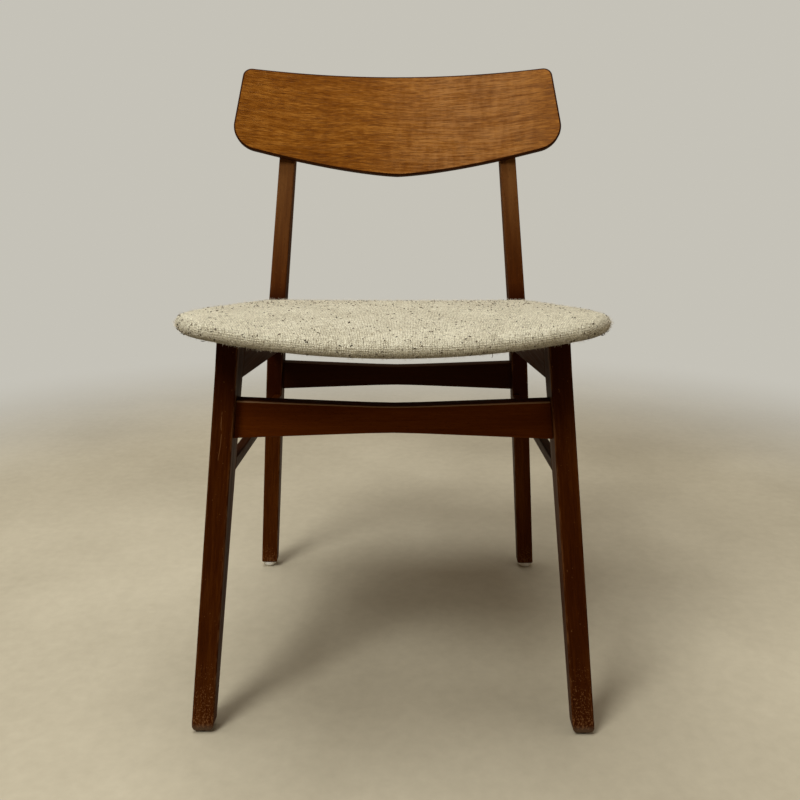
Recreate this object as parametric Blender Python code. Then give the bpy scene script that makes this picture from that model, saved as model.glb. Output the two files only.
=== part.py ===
"""A side chair: a dark wooden frame on raked legs, a curved veneered backrest and an upholstered seat.

Units are metres, +Z is up and the sitter faces -Y. "Left" is the -X side and "right" is the +X side.
Heights are measured from the floor and depths (Y) from the front edge of the front feet. The root empty
then moves the whole chair back, so that the world origin is on the floor under the middle of the chair.
"""
import math

import bmesh
import bpy
from mathutils import Vector

# --- clearances and roundings ---
GAP = 0.0003                 # clearance between neighbouring pieces
ARRIS = 0.002                # rounding of the frame's long edges
ROUND_STEPS = 3              # segments in each rounded edge
ROD_SIDES = 12               # sides of dowels, screws and their holes

# --- front legs: straight, splayed outwards and raked so the feet stand in front of the tops ---
FRONT_WIDTH = 0.0248         # leg width seen from the front
FRONT_X_FLOOR = 0.216        # centre line at the floor
FRONT_SPLAY = 0.064          # inward slope per metre of height
FRONT_RAKE = 0.1628          # backward slope of the front face
FRONT_DEPTH_FLOOR = 0.020    # side depth at the foot
FRONT_DEPTH_GROWTH = 0.0591  # side depth gained per metre of height
FRONT_LEG_TOP_Z = 0.4435     # about where it meets the seat

# --- rear legs: a leg below the knee and a leaning post above it, cut from one plank ---
REAR_WIDTH = 0.0244
REAR_X_FLOOR = 0.2067
REAR_SPLAY = 0.0527
REAR_FRONT_FLOOR_Y = 0.413
REAR_FRONT_KNEE_Y = 0.4025
REAR_BACK_FLOOR_Y = 0.4328
REAR_BACK_KNEE_Y = 0.4397
KNEE_Z = 0.4167
KNEE_BLEND = 0.016           # half height of the rounded bend at the knee
LEAN = math.radians(16.29)   # lean of the post's front face
POST_BACK_SLOPE = 0.2443     # the back face leans a little less, so the post tapers
POST_TOP_Z = 0.765
KNEE_STEPS = 8               # flats that follow the bend

# --- feet and glides ---
FRONT_GLIDE_RADIUS = 0.0062
FRONT_GLIDE_HEIGHT = 0.0018           # the front glides are pressed almost flush
REAR_GLIDE_RADIUS = 0.0098
REAR_GLIDE_HEIGHT = 0.008
GLIDE_PIN_RADIUS = 0.0014
GLIDE_PIN_LENGTH = 0.016
FRONT_FOOT_ROUND = (0.0050, 0.0085)   # reach inwards and upwards of a foot's rounded lower edges
REAR_FOOT_ROUND = (0.0016, 0.0024)
FOOT_STEPS = 5                        # segments in a foot's rounding
POST_CHAMFER = 0.002         # chamfer round the top of a post

# --- seat underside: a shallow dish that slopes down to the back and rolls over at the front ---
SEAT_UNDER_Z = 0.4375        # height of the underside on the centre line above SEAT_REFERENCE_Y
SEAT_REFERENCE_Y = 0.071
SEAT_SLOPE = 0.098
SEAT_DISH = 0.0216           # rise at SEAT_DISH_X from the centre line
SEAT_DISH_X = 0.25
SEAT_ROLL = 0.0073           # drop at the front edge
SEAT_ROLL_START_Y = 0.12
SEAT_ROLL_LENGTH = 0.16

# --- seat outline in plan ---
SEAT_HALF_FRONT = 0.2393
SEAT_HALF_REAR = 0.1989
SEAT_FRONT_Y = 0.0049
SEAT_REAR_Y = 0.4045
SEAT_FRONT_CORNER = 0.0334
SEAT_REAR_CORNER = 0.0384
SEAT_FRONT_BOW = 0.0446
SEAT_SIDE_BOW = 0.0094       # outward swell of the sides as a share of the half width
SEAT_CENTRE_Y = 0.20
SEAT_EDGE_LENGTH = 0.045     # longest straight piece of the outline

# --- seat layers, as heights above the underside ---
COVER_THICKNESS = 0.002
COVER_LIP = 0.030            # width of the cloth turned under the board
EDGE_LOWER = 0.0089          # height of the cover's widest line
EDGE_UPPER = 0.0150          # height from there to the top of the edge
EDGE_ROUND = 0.0141          # how far the edge's rounding reaches inwards
EDGE_WRAP = 0.010            # how far the rounding reaches inwards underneath
CROWN = 0.0185               # extra thickness in the middle of the seat
BOARD_BASE = 0.0025
BOARD_THICKNESS = 0.009
BOARD_INSET = 0.006
LINING_THICKNESS = 0.0008

# --- side rails under the seat and thin side stretchers below them ---
RAIL_THICKNESS = 0.022
RAIL_BOTTOM_Z = 0.3912       # at SEAT_REFERENCE_Y
RAIL_BOTTOM_SLOPE = 0.0911
SIDE_STRETCHER_Z = 0.2822    # at SIDE_STRETCHER_Y
SIDE_STRETCHER_Y = 0.084
SIDE_STRETCHER_SLOPE = 0.025
SIDE_STRETCHER_HEIGHT = 0.0146
SIDE_STRETCHER_THICKNESS = 0.0120

# --- waisted cross pieces ---
FRONT_STRETCHER_TOP_Z = 0.3696
FRONT_STRETCHER_HEIGHT = 0.0430
FRONT_STRETCHER_THICKNESS = 0.0196
FRONT_STRETCHER_RECESS = 0.0120
REAR_RAIL_TOP_Z = 0.3384
REAR_RAIL_HEIGHT = 0.0417
REAR_RAIL_THICKNESS = 0.0210
REAR_RAIL_Y = 0.4103
WAIST_DEPTH = 0.0064         # how far each edge curves in at the middle
WAIST_SOFTNESS = 0.020       # rounding of the waist's lowest point
WAIST_STATIONS = 12

# --- backrest board, laid out on the leaning plane of the posts' front faces ---
BOARD_THICK = 0.012
BOARD_SAGITTA = 0.040        # depth of the curve over BOARD_HALF_CHORD
BOARD_HALF_CHORD = 0.245
BOARD_TOUCH_X = 0.170        # where the board's back meets the plane of the posts
BOARD_TOP = 0.381            # distance up the plane from the knee
BOARD_BOTTOM = 0.2193
BOARD_RISE = 0.0304          # rise of the lower edge at BOARD_RISE_X
BOARD_RISE_X = 0.215
BOARD_RISE_POWER = 1.34
BOARD_TOP_HALF = 0.2376
BOARD_CORNER = (0.2551, 0.2566)
BOARD_TOP_RADIUS = 0.015
BOARD_BOTTOM_RADIUS = 0.036
BOARD_EDGE_ROUND = 0.003
BOARD_STRIPS = 20            # flat strips that follow the curve

# --- dowels, screws and plugs ---
DOWEL_RADIUS = 0.004
DOWEL_HALF = 0.013
SMALL_DOWEL_RADIUS = 0.003
SMALL_DOWEL_HALF = 0.008
SCREW_RADIUS = 0.0021
SCREW_HEAD_RADIUS = 0.0042
SCREW_HEAD_LENGTH = 0.0032
SEAT_SCREWS = (("front", 0.165, "seat_lining"), ("rear", 0.335, "seat_cover"))
SEAT_SCREW_SUNK = 0.010
SEAT_SCREW_BITE = 0.007
BACK_SCREW_UP = (0.270, 0.335)
BACK_SCREW_SUNK = 0.009
BACK_SCREW_BITE = 0.007
PLUG_RADIUS = 0.0047
PLUG_LENGTH = 0.0050

SIDES = (("left", -1), ("right", 1))

COLOURS = {                  # base colour, roughness, metallic
    "stained_beech": ((0.045, 0.014, 0.004, 1.0), 0.42, 0.0),
    "teak_veneer": ((0.230, 0.080, 0.016, 1.0), 0.38, 0.0),
    "wool_cloth": ((0.640, 0.560, 0.420, 1.0), 0.95, 0.0),
    "seat_foam": ((0.760, 0.640, 0.360, 1.0), 0.95, 0.0),
    "plywood": ((0.480, 0.310, 0.150, 1.0), 0.70, 0.0),
    "lining_cloth": ((0.050, 0.045, 0.040, 1.0), 0.95, 0.0),
    "plain_beech": ((0.560, 0.360, 0.190, 1.0), 0.65, 0.0),
    "steel": ((0.500, 0.490, 0.470, 1.0), 0.35, 1.0),
    "pale_glide": ((0.780, 0.770, 0.740, 1.0), 0.40, 0.0),
    "dark_glide": ((0.060, 0.045, 0.035, 1.0), 0.50, 0.0),
}


# ------------------------------------------------------------------ scene helpers

def clear_scene():
    """Remove whatever the file holds."""
    for thing in list(bpy.data.objects):
        bpy.data.objects.remove(thing, do_unlink=True)


def new_collection(name):
    """Make a collection in the scene."""
    made = bpy.data.collections.new(name)
    bpy.context.scene.collection.children.link(made)
    return made


def make_material(slot):
    """Make a plain Principled material for a slot."""
    colour, roughness, metallic = COLOURS[slot]
    made = bpy.data.materials.new(slot)
    made.use_nodes = True
    shader = made.node_tree.nodes["Principled BSDF"]
    shader.inputs["Base Color"].default_value = colour
    shader.inputs["Roughness"].default_value = roughness
    shader.inputs["Metallic"].default_value = metallic
    return made


class Workshop:
    """Keeps the collections, the root empty, the pieces and the holes still to be cut."""

    def __init__(self):
        self.chair = new_collection("dining_chair")
        self.cutters = new_collection("dining_chair_cutters")
        self.root = bpy.data.objects.new("dining_chair_root", None)
        self.chair.objects.link(self.root)
        self.pieces = {}
        self.holes = {}

    def add(self, name, shape, slot, origin=(0.0, 0.0, 0.0)):
        """Turn a shape (points and faces) into a named piece whose origin is a given point."""
        piece = mesh_object(name, shape, Vector(origin))
        piece.data.materials.append(make_material(slot))
        piece.parent = self.root
        self.chair.objects.link(piece)
        self.pieces[name] = piece
        return piece

    def drill(self, name, shape, kind="holes"):
        """Note a shape to be cut from a piece; shapes of one kind must not touch each other."""
        self.holes.setdefault((name, kind), []).append(shape)

    def cut_holes(self):
        """Cut each piece with one cutter for each kind of cut."""
        for (name, kind), shapes in self.holes.items():
            cutter = mesh_object("{}_{}".format(name, kind), join_shapes(shapes), Vector())
            cutter.parent = self.root
            cutter.hide_render = True
            cutter.display_type = "WIRE"
            self.cutters.objects.link(cutter)
            boolean = self.pieces[name].modifiers.new(kind, "BOOLEAN")
            boolean.operation = "DIFFERENCE"
            boolean.solver = "EXACT"
            boolean.object = cutter


def mesh_object(name, shape, origin):
    """Make an object from points in chair coordinates, with outward normals and a chosen origin."""
    points, faces = shape
    mesh = bpy.data.meshes.new(name)
    mesh.from_pydata([Vector(p) - origin for p in points], [], faces)
    work = bmesh.new()
    work.from_mesh(mesh)
    bmesh.ops.recalc_face_normals(work, faces=work.faces)
    work.to_mesh(mesh)
    work.free()
    made = bpy.data.objects.new(name, mesh)
    made.location = origin
    return made


# ------------------------------------------------------------------ shape helpers

def join_shapes(shapes):
    """Put several closed shapes that do not touch into one."""
    points, faces = [], []
    for more_points, more_faces in shapes:
        start = len(points)
        points.extend(more_points)
        faces.extend([tuple(i + start for i in face) for face in more_faces])
    return points, faces


def loft(rings, tips=False):
    """Skin a row of rings and close both ends, with a flat cap or with a fan to the ring's middle."""
    count = len(rings[0])
    points = [p for ring in rings for p in ring]
    faces = []
    for level in range(len(rings) - 1):
        low, high = level * count, (level + 1) * count
        for i in range(count):
            j = (i + 1) % count
            quad = (low + i, low + j, high + j, high + i)
            faces.extend(split_quad(points, quad) if tips else [quad])
    for ring_start in (0, (len(rings) - 1) * count):
        around = list(range(ring_start, ring_start + count))
        if tips:
            middle = sum((Vector(points[i]) for i in around), Vector()) / count
            points.append(tuple(middle))
            tip = len(points) - 1
            faces.extend([(around[i], around[(i + 1) % count], tip) for i in range(count)])
        else:
            faces.append(tuple(around))
    return points, faces


def split_quad(points, quad):
    """Split a bent quad along its shorter diagonal, so that layers laid on each other stay apart."""
    a, b, c, d = quad
    if (Vector(points[a]) - Vector(points[c])).length < (Vector(points[b]) - Vector(points[d])).length:
        return [(a, b, c), (a, c, d)]
    return [(a, b, d), (b, c, d)]


def rounded_rectangle(width, height, radius):
    """Corner-rounded rectangle about the origin, anticlockwise, as (across, up) pairs."""
    outline = []
    corners = ((1, 1, 0.0), (-1, 1, 0.5), (-1, -1, 1.0), (1, -1, 1.5))
    for sx, sy, turn in corners:
        for step in range(ROUND_STEPS + 1):
            angle = (turn + 0.5 * step / ROUND_STEPS) * math.pi
            across = sx * (width / 2 - radius) + radius * math.cos(angle)
            up = sy * (height / 2 - radius) + radius * math.sin(angle)
            outline.append((across, up))
    return outline


def rod(start, end, radius, sides=ROD_SIDES):
    """A round rod between two points."""
    return turned(start, end, ((0.0, radius), ((Vector(end) - Vector(start)).length, radius)), sides)


def turned(start, end, profile, sides=ROD_SIDES):
    """A turned shape along a line: the profile holds (distance along, radius) pairs."""
    start = Vector(start)
    along = (Vector(end) - start).normalized()
    helper = Vector((0, 0, 1)) if abs(along.z) < 0.9 else Vector((1, 0, 0))
    across = along.cross(helper).normalized()
    other = along.cross(across)
    rings = []
    for distance, radius in profile:
        ring = []
        for i in range(sides):
            angle = 2 * math.pi * (i + 0.5) / sides
            offset = across * (radius * math.cos(angle)) + other * (radius * math.sin(angle))
            ring.append(tuple(start + along * distance + offset))
        rings.append(ring)
    return loft(rings)


def fillet(before, corner, after, radius, steps):
    """Arc points that round a corner between two straight edges."""
    before, corner, after = Vector(before), Vector(corner), Vector(after)
    back = (before - corner).normalized()
    ahead = (after - corner).normalized()
    half = math.acos(max(-1.0, min(1.0, back.dot(ahead)))) / 2
    centre = corner + (back + ahead).normalized() * (radius / math.sin(half))
    first = corner + back * (radius / math.tan(half)) - centre
    last = corner + ahead * (radius / math.tan(half)) - centre
    start_angle = math.atan2(first.y, first.x)
    turn = math.atan2(last.y, last.x) - start_angle
    turn = (turn + math.pi) % (2 * math.pi) - math.pi
    arc = []
    for step in range(steps + 1):
        angle = start_angle + turn * step / steps
        arc.append((centre.x + radius * math.cos(angle), centre.y + radius * math.sin(angle)))
    return arc


def inset_outline(outline, distance):
    """Move every point of an anticlockwise outline inwards."""
    moved = []
    count = len(outline)
    for i, (x, y) in enumerate(outline):
        bx, by = outline[i - 1]
        ax, ay = outline[(i + 1) % count]
        run = math.hypot(ax - bx, ay - by)
        moved.append((x - (ay - by) / run * distance, y + (ax - bx) / run * distance))
    return moved


def split_long_edges(outline, longest):
    """Add points so that no edge of a closed outline is longer than a given length."""
    finer = []
    count = len(outline)
    for i, (x, y) in enumerate(outline):
        nx, ny = outline[(i + 1) % count]
        parts = max(1, math.ceil(math.hypot(nx - x, ny - y) / longest))
        finer.extend([(x + (nx - x) * k / parts, y + (ny - y) * k / parts) for k in range(parts)])
    return finer


# ------------------------------------------------------------------ the frame's lines

def front_leg_x(z):
    return FRONT_X_FLOOR - FRONT_SPLAY * z


def front_leg_front(z):
    return FRONT_RAKE * z


def front_leg_back(z):
    return FRONT_DEPTH_FLOOR + (FRONT_RAKE + FRONT_DEPTH_GROWTH) * z


def rear_leg_x(z):
    return REAR_X_FLOOR - REAR_SPLAY * z


def bent(z, floor_y, knee_y, slope_above):
    """Depth of a face that runs straight to the knee, bends smoothly and runs straight on."""
    slope_below = (knee_y - floor_y) / KNEE_Z
    start = KNEE_Z - KNEE_BLEND
    if z <= start:
        return floor_y + slope_below * z
    if z >= KNEE_Z + KNEE_BLEND:
        return knee_y + slope_above * (z - KNEE_Z)
    blend = (slope_above - slope_below) * (z - start) ** 2 / (4 * KNEE_BLEND)
    return floor_y + slope_below * z + blend


def rear_leg_front_line(z):
    """The straight line of the rear leg's front face below the knee, where the side bars end."""
    return REAR_FRONT_FLOOR_Y + (REAR_FRONT_KNEE_Y - REAR_FRONT_FLOOR_Y) * z / KNEE_Z


def rear_leg_front(z):
    return bent(z, REAR_FRONT_FLOOR_Y, REAR_FRONT_KNEE_Y, math.tan(LEAN))


def rear_leg_back(z):
    return bent(z, REAR_BACK_FLOOR_Y, REAR_BACK_KNEE_Y, POST_BACK_SLOPE)


def inner_face_x(y, z):
    """Half width between the legs' inner faces, from the front leg to the rear leg."""
    front_y, rear_y = front_leg_back(z), rear_leg_front_line(z)
    share = (y - front_y) / (rear_y - front_y)
    front_x = front_leg_x(z) - FRONT_WIDTH / 2
    rear_x = rear_leg_x(z) - REAR_WIDTH / 2
    return front_x + (rear_x - front_x) * share


def seat_under(x, y):
    """Height of the seat's underside."""
    rolled = max(0.0, (SEAT_ROLL_START_Y - y) / SEAT_ROLL_LENGTH)
    slope = SEAT_SLOPE * (y - SEAT_REFERENCE_Y)
    return SEAT_UNDER_Z - slope + SEAT_DISH * (x / SEAT_DISH_X) ** 2 - SEAT_ROLL * rolled ** 2


def rail_bottom(y):
    return RAIL_BOTTOM_Z - RAIL_BOTTOM_SLOPE * (y - SEAT_REFERENCE_Y)


def stretcher_bottom(y):
    return SIDE_STRETCHER_Z - SIDE_STRETCHER_SLOPE * (y - SIDE_STRETCHER_Y)


def waist(x, half):
    """How far a waisted edge is cut in at a distance from the middle."""
    soft = math.sqrt(x * x + WAIST_SOFTNESS ** 2) - WAIST_SOFTNESS
    return WAIST_DEPTH * (1 - soft / (math.sqrt(half * half + WAIST_SOFTNESS ** 2) - WAIST_SOFTNESS))


# ------------------------------------------------------------------ frame pieces

class LegLines:
    """A leg's width and foot, and its centre line, front face and back face by height."""

    def __init__(self, width, foot_z, foot_round, centre_x, front_y, back_y):
        self.width = width
        self.foot_z = foot_z
        self.foot_round = foot_round
        self.centre_x = centre_x
        self.front_y = front_y
        self.back_y = back_y


def leg_section(lines, side, z, shrink=0.0, meets_seat=False):
    """Level cross section of a leg; one that meets the seat follows the seat's underside."""
    front, back = lines.front_y(z), lines.back_y(z)
    outline = rounded_rectangle(lines.width - 2 * shrink, back - front - 2 * shrink, ARRIS)
    ring = []
    for across, along in outline:
        x, y = side * lines.centre_x(z) + across, (front + back) / 2 + along
        ring.append((x, y, seat_under(x, y) - GAP if meets_seat else z))
    return ring


def foot_rings(lines, side):
    """Cross sections of a leg's rounded foot, from just above its glide."""
    inwards, upwards = lines.foot_round
    rings = []
    for step in range(FOOT_STEPS + 1):
        angle = 0.5 * math.pi * step / FOOT_STEPS
        z = lines.foot_z + upwards * (1 - math.cos(angle))
        rings.append(leg_section(lines, side, z, inwards * (1 - math.sin(angle))))
    return rings


def build_front_leg(shop, label, side):
    lines = LegLines(FRONT_WIDTH, FRONT_GLIDE_HEIGHT, FRONT_FOOT_ROUND,
                     front_leg_x, front_leg_front, front_leg_back)
    rings = foot_rings(lines, side)
    rings += [leg_section(lines, side, z) for z in (0.20, 0.40)]
    rings.append(leg_section(lines, side, FRONT_LEG_TOP_Z, meets_seat=True))
    foot = (side * front_leg_x(0.0), FRONT_DEPTH_FLOOR / 2, 0.0)
    shop.add("front_leg_" + label, loft(rings), "stained_beech", foot)


def build_rear_leg(shop, label, side):
    lines = LegLines(REAR_WIDTH, REAR_GLIDE_HEIGHT, REAR_FOOT_ROUND,
                     rear_leg_x, rear_leg_front, rear_leg_back)
    bend_start = KNEE_Z - KNEE_BLEND
    heights = [0.20]
    heights += [bend_start + 2 * KNEE_BLEND * step / KNEE_STEPS for step in range(KNEE_STEPS + 1)]
    heights += [0.60, POST_TOP_Z - POST_CHAMFER]
    rings = foot_rings(lines, side)
    rings += [leg_section(lines, side, z) for z in heights]
    rings.append(leg_section(lines, side, POST_TOP_Z, POST_CHAMFER))
    foot = (side * rear_leg_x(0.0), (REAR_FRONT_FLOOR_Y + REAR_BACK_FLOOR_Y) / 2, 0.0)
    shop.add("rear_leg_" + label, loft(rings), "stained_beech", foot)


def side_bar_ring(side, face_y, thickness, height, bottom, top):
    """End section of a bar that meets a leg's sloping face, its inner face flush with the legs."""
    ring = []
    for across, up in rounded_rectangle(thickness, height, ARRIS):
        outwards, share = across + thickness / 2, up / height + 0.5
        y, z = face_y(bottom(0.25)), bottom(0.25)
        for _ in range(4):
            x = inner_face_x(y, z) + outwards
            z = bottom(y) + share * (top(x, y) - bottom(y))
            y = face_y(z)
        ring.append((side * x, y, z))
    return ring


def build_side_bar(shop, name, side, thickness, height, bottom, top):
    """A bar between a front leg and a rear leg."""

    def front_end(z):
        return front_leg_back(z) + GAP

    def rear_end(z):
        return rear_leg_front_line(z) - GAP

    front = side_bar_ring(side, front_end, thickness, height, bottom, top)
    rear = side_bar_ring(side, rear_end, thickness, height, bottom, top)
    middle = [tuple((Vector(a) + Vector(b)) / 2) for a, b in zip(front, rear)]
    shop.add(name, loft([front, middle, rear]), "stained_beech", middle[0])


def build_side_rail(shop, label, side):
    height = seat_under(front_leg_x(0.42), 0.12) - rail_bottom(0.12)

    def top(x, y):
        return seat_under(x, y) - GAP

    build_side_bar(shop, "side_rail_" + label, side, RAIL_THICKNESS, height, rail_bottom, top)


def build_side_stretcher(shop, label, side):

    def top(x, y):
        return stretcher_bottom(y) + SIDE_STRETCHER_HEIGHT

    build_side_bar(shop, "side_stretcher_" + label, side, SIDE_STRETCHER_THICKNESS,
                   SIDE_STRETCHER_HEIGHT, stretcher_bottom, top)


def cross_piece(half_at, front_y, thickness, tilt, top_z, height):
    """A waisted bar between the legs; half_at gives its half length at a height."""
    outline = rounded_rectangle(thickness, height, ARRIS)
    rings = []
    for station in range(WAIST_STATIONS + 1):
        share = 2 * station / WAIST_STATIONS - 1
        ring = []
        for across, up in outline:
            z = top_z - height / 2 + up
            x = share * half_at(z)
            squeeze = 1 - 2 * waist(x, half_at(top_z)) / height
            z = top_z - height / 2 + up * squeeze
            x = share * half_at(z)
            y = front_y + thickness / 2 + across + tilt * (z - top_z)
            ring.append((x, y, z))
        rings.append(ring)
    return loft(rings)


def build_front_stretcher(shop):
    front_y = front_leg_front(FRONT_STRETCHER_TOP_Z) + FRONT_STRETCHER_RECESS

    def half(z):
        return front_leg_x(z) - FRONT_WIDTH / 2 - GAP

    shape = cross_piece(half, front_y, FRONT_STRETCHER_THICKNESS, FRONT_RAKE,
                        FRONT_STRETCHER_TOP_Z, FRONT_STRETCHER_HEIGHT)
    middle = (0.0, front_y, FRONT_STRETCHER_TOP_Z - FRONT_STRETCHER_HEIGHT / 2)
    shop.add("front_stretcher", shape, "stained_beech", middle)


def build_rear_rail(shop):

    def half(z):
        return rear_leg_x(z) - REAR_WIDTH / 2 - GAP

    shape = cross_piece(half, REAR_RAIL_Y, REAR_RAIL_THICKNESS, 0.0, REAR_RAIL_TOP_Z, REAR_RAIL_HEIGHT)
    middle = (0.0, REAR_RAIL_Y, REAR_RAIL_TOP_Z - REAR_RAIL_HEIGHT / 2)
    shop.add("rear_rail", shape, "stained_beech", middle)


# ------------------------------------------------------------------ glides

def build_glide(shop, place, label, side):
    """A domed disc under a foot, with a pin up into the leg."""
    if place == "front":
        slot, radius, height = "dark_glide", FRONT_GLIDE_RADIUS, FRONT_GLIDE_HEIGHT
        x, y = side * front_leg_x(0.0), (front_leg_front(height) + front_leg_back(height)) / 2
    else:
        slot, radius, height = "pale_glide", REAR_GLIDE_RADIUS, REAR_GLIDE_HEIGHT
        x, y = side * rear_leg_x(0.0), (REAR_FRONT_FLOOR_Y + REAR_BACK_FLOOR_Y) / 2
    top = height - GAP
    profile = ((0.0, 0.66 * radius), (0.3 * top, 0.9 * radius), (0.65 * top, radius),
               (top, 0.94 * radius), (top, GLIDE_PIN_RADIUS),
               (top + GLIDE_PIN_LENGTH, GLIDE_PIN_RADIUS))
    foot = (x, y, 0.0)
    shop.add("glide_{}_{}".format(place, label), turned(foot, (x, y, 1.0), profile, 20), slot, foot)
    hole_end = (x, y, top + GLIDE_PIN_LENGTH + GAP)
    hole = rod((x, y, height - GLIDE_PIN_RADIUS), hole_end, GLIDE_PIN_RADIUS + GAP, 20)
    shop.drill("{}_leg_{}".format(place, label), hole)


# ------------------------------------------------------------------ backrest

def on_back_plane(x, up, forward):
    """A point on the plane of the posts' front faces: distance up it and distance in front of it."""
    y = REAR_FRONT_KNEE_Y + up * math.sin(LEAN) - forward * math.cos(LEAN)
    z = KNEE_Z + up * math.cos(LEAN) + forward * math.sin(LEAN)
    return (x, y, z)


def board_curve(x):
    """How far the board's back face stands in front of the plane of the posts."""
    return BOARD_SAGITTA * (x * x - BOARD_TOUCH_X ** 2) / BOARD_HALF_CHORD ** 2


def backrest_outline():
    """The board's outline on the flat, anticlockwise from the middle of the lower edge."""
    lower = []
    for step in range(9):
        x = 0.96 * BOARD_RISE_X * step / 8
        lower.append((x, BOARD_BOTTOM + BOARD_RISE * (x / BOARD_RISE_X) ** BOARD_RISE_POWER))
    top_corner = (BOARD_TOP_HALF, BOARD_TOP)
    low_arc = fillet(lower[-1], BOARD_CORNER, top_corner, BOARD_BOTTOM_RADIUS, 6)
    top_arc = fillet(BOARD_CORNER, top_corner, (0.0, BOARD_TOP), BOARD_TOP_RADIUS, 4)
    right = lower + low_arc + top_arc
    left = [(-x, up) for x, up in reversed(right[1:])]
    return right + left


def plate(outline, thickness, edge_round):
    """A plate with rounded edges, standing in the XZ plane with its thickness along Y."""
    rings = []
    steps = 3
    for back in (True, False):
        for step in range(steps):
            angle = 0.5 * math.pi * step / (steps - 1)
            if not back:
                angle = 0.5 * math.pi - angle
            inset = edge_round * (1 - math.sin(angle))
            depth = edge_round * (1 - math.cos(angle))
            level = depth if back else thickness - depth
            rings.append([(x, level, up) for x, up in inset_outline(outline, inset)])
    return loft(rings)


def bend_board(shape, outset):
    """Cut a flat plate into strips and bend it to the backrest's curve."""
    points, faces = shape
    mesh = bpy.data.meshes.new("backrest_bend")
    mesh.from_pydata(points, [], faces)
    work = bmesh.new()
    work.from_mesh(mesh)
    reach = BOARD_CORNER[0]
    for strip in range(1, BOARD_STRIPS):
        x = reach * (2 * strip / BOARD_STRIPS - 1)
        everything = work.verts[:] + work.edges[:] + work.faces[:]
        bmesh.ops.bisect_plane(work, geom=everything, dist=1e-6, plane_co=(x, 0, 0), plane_no=(1, 0, 0))
    for vert in work.verts:
        x, level, up = vert.co
        vert.co = on_back_plane(x, up, board_curve(x) + level - outset)
    bmesh.ops.triangulate(work, faces=work.faces)
    work.verts.index_update()
    bent_points = [tuple(v.co) for v in work.verts]
    bent_faces = [tuple(v.index for v in f.verts) for f in work.faces]
    work.free()
    bpy.data.meshes.remove(mesh)
    return bent_points, bent_faces


def build_backrest(shop):
    outline = backrest_outline()
    middle = on_back_plane(0.0, (BOARD_TOP + BOARD_BOTTOM) / 2, board_curve(0.0))
    board = bend_board(plate(outline, BOARD_THICK, BOARD_EDGE_ROUND), 0.0)
    shop.add("backrest_board", board, "teak_veneer", middle)
    wide = inset_outline(outline, -0.004)
    bed = bend_board(plate(wide, BOARD_THICK, BOARD_EDGE_ROUND), GAP)
    for label, _ in SIDES:
        shop.drill("rear_leg_" + label, bed, "bed")


# ------------------------------------------------------------------ seat

def seat_outline():
    """The cover's widest outline in plan, anticlockwise."""
    corners = ((-SEAT_HALF_FRONT, SEAT_FRONT_Y), (SEAT_HALF_FRONT, SEAT_FRONT_Y),
               (SEAT_HALF_REAR, SEAT_REAR_Y), (-SEAT_HALF_REAR, SEAT_REAR_Y))
    radii = (SEAT_FRONT_CORNER, SEAT_FRONT_CORNER, SEAT_REAR_CORNER, SEAT_REAR_CORNER)
    outline = []
    for i, corner in enumerate(corners):
        outline += fillet(corners[i - 1], corner, corners[(i + 1) % 4], radii[i], 5)
    outline = split_long_edges(outline, SEAT_EDGE_LENGTH)
    bowed = []
    for x, y in outline:
        forward = (SEAT_REAR_Y - y) / (SEAT_REAR_Y - SEAT_FRONT_Y)
        swell = 1 + SEAT_SIDE_BOW * 4 * forward * (1 - forward)
        bow = SEAT_FRONT_BOW * (1 - (x / SEAT_HALF_FRONT) ** 2) * forward
        bowed.append((x * swell, y - bow))
    return bowed


def seat_ring(inset, scale, height):
    """The seat's outline, moved inwards, shrunk about its middle and lifted above the underside."""
    ring = []
    for x, y in inset_outline(seat_outline(), inset):
        x, y = x * scale, SEAT_CENTRE_Y + (y - SEAT_CENTRE_Y) * scale
        ring.append((x, y, seat_under(x, y) + height))
    return ring


def crowned_rings(inset, thinner):
    """Rings from the seat's widest line over its rounded edge to the middle of its top."""
    rings = []
    for step in range(5):
        angle = 0.5 * math.pi * step / 4
        reach = EDGE_ROUND * (1 - math.cos(angle)) * (1 - thinner / EDGE_ROUND)
        rings.append(seat_ring(inset + reach, 1.0, EDGE_LOWER + (EDGE_UPPER - thinner) * math.sin(angle)))
    for scale in (0.82, 0.62, 0.40, 0.18):
        height = EDGE_LOWER + EDGE_UPPER - thinner + CROWN * (1 - scale ** 2) * (1 - 0.3 * scale)
        rings.append(seat_ring(inset + EDGE_ROUND - thinner, scale, height))
    return rings


def lower_rings(inset, base, wrap):
    """Rings from the turned-under lip out to the widest line."""
    rings = [seat_ring(COVER_LIP, 1.0, base)]
    for step in range(3):
        angle = 0.5 * math.pi * step / 3
        reach = wrap * (1 - math.sin(angle))
        rings.append(seat_ring(inset + reach, 1.0, base + (EDGE_LOWER - base) * (1 - math.cos(angle))))
    return rings


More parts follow.
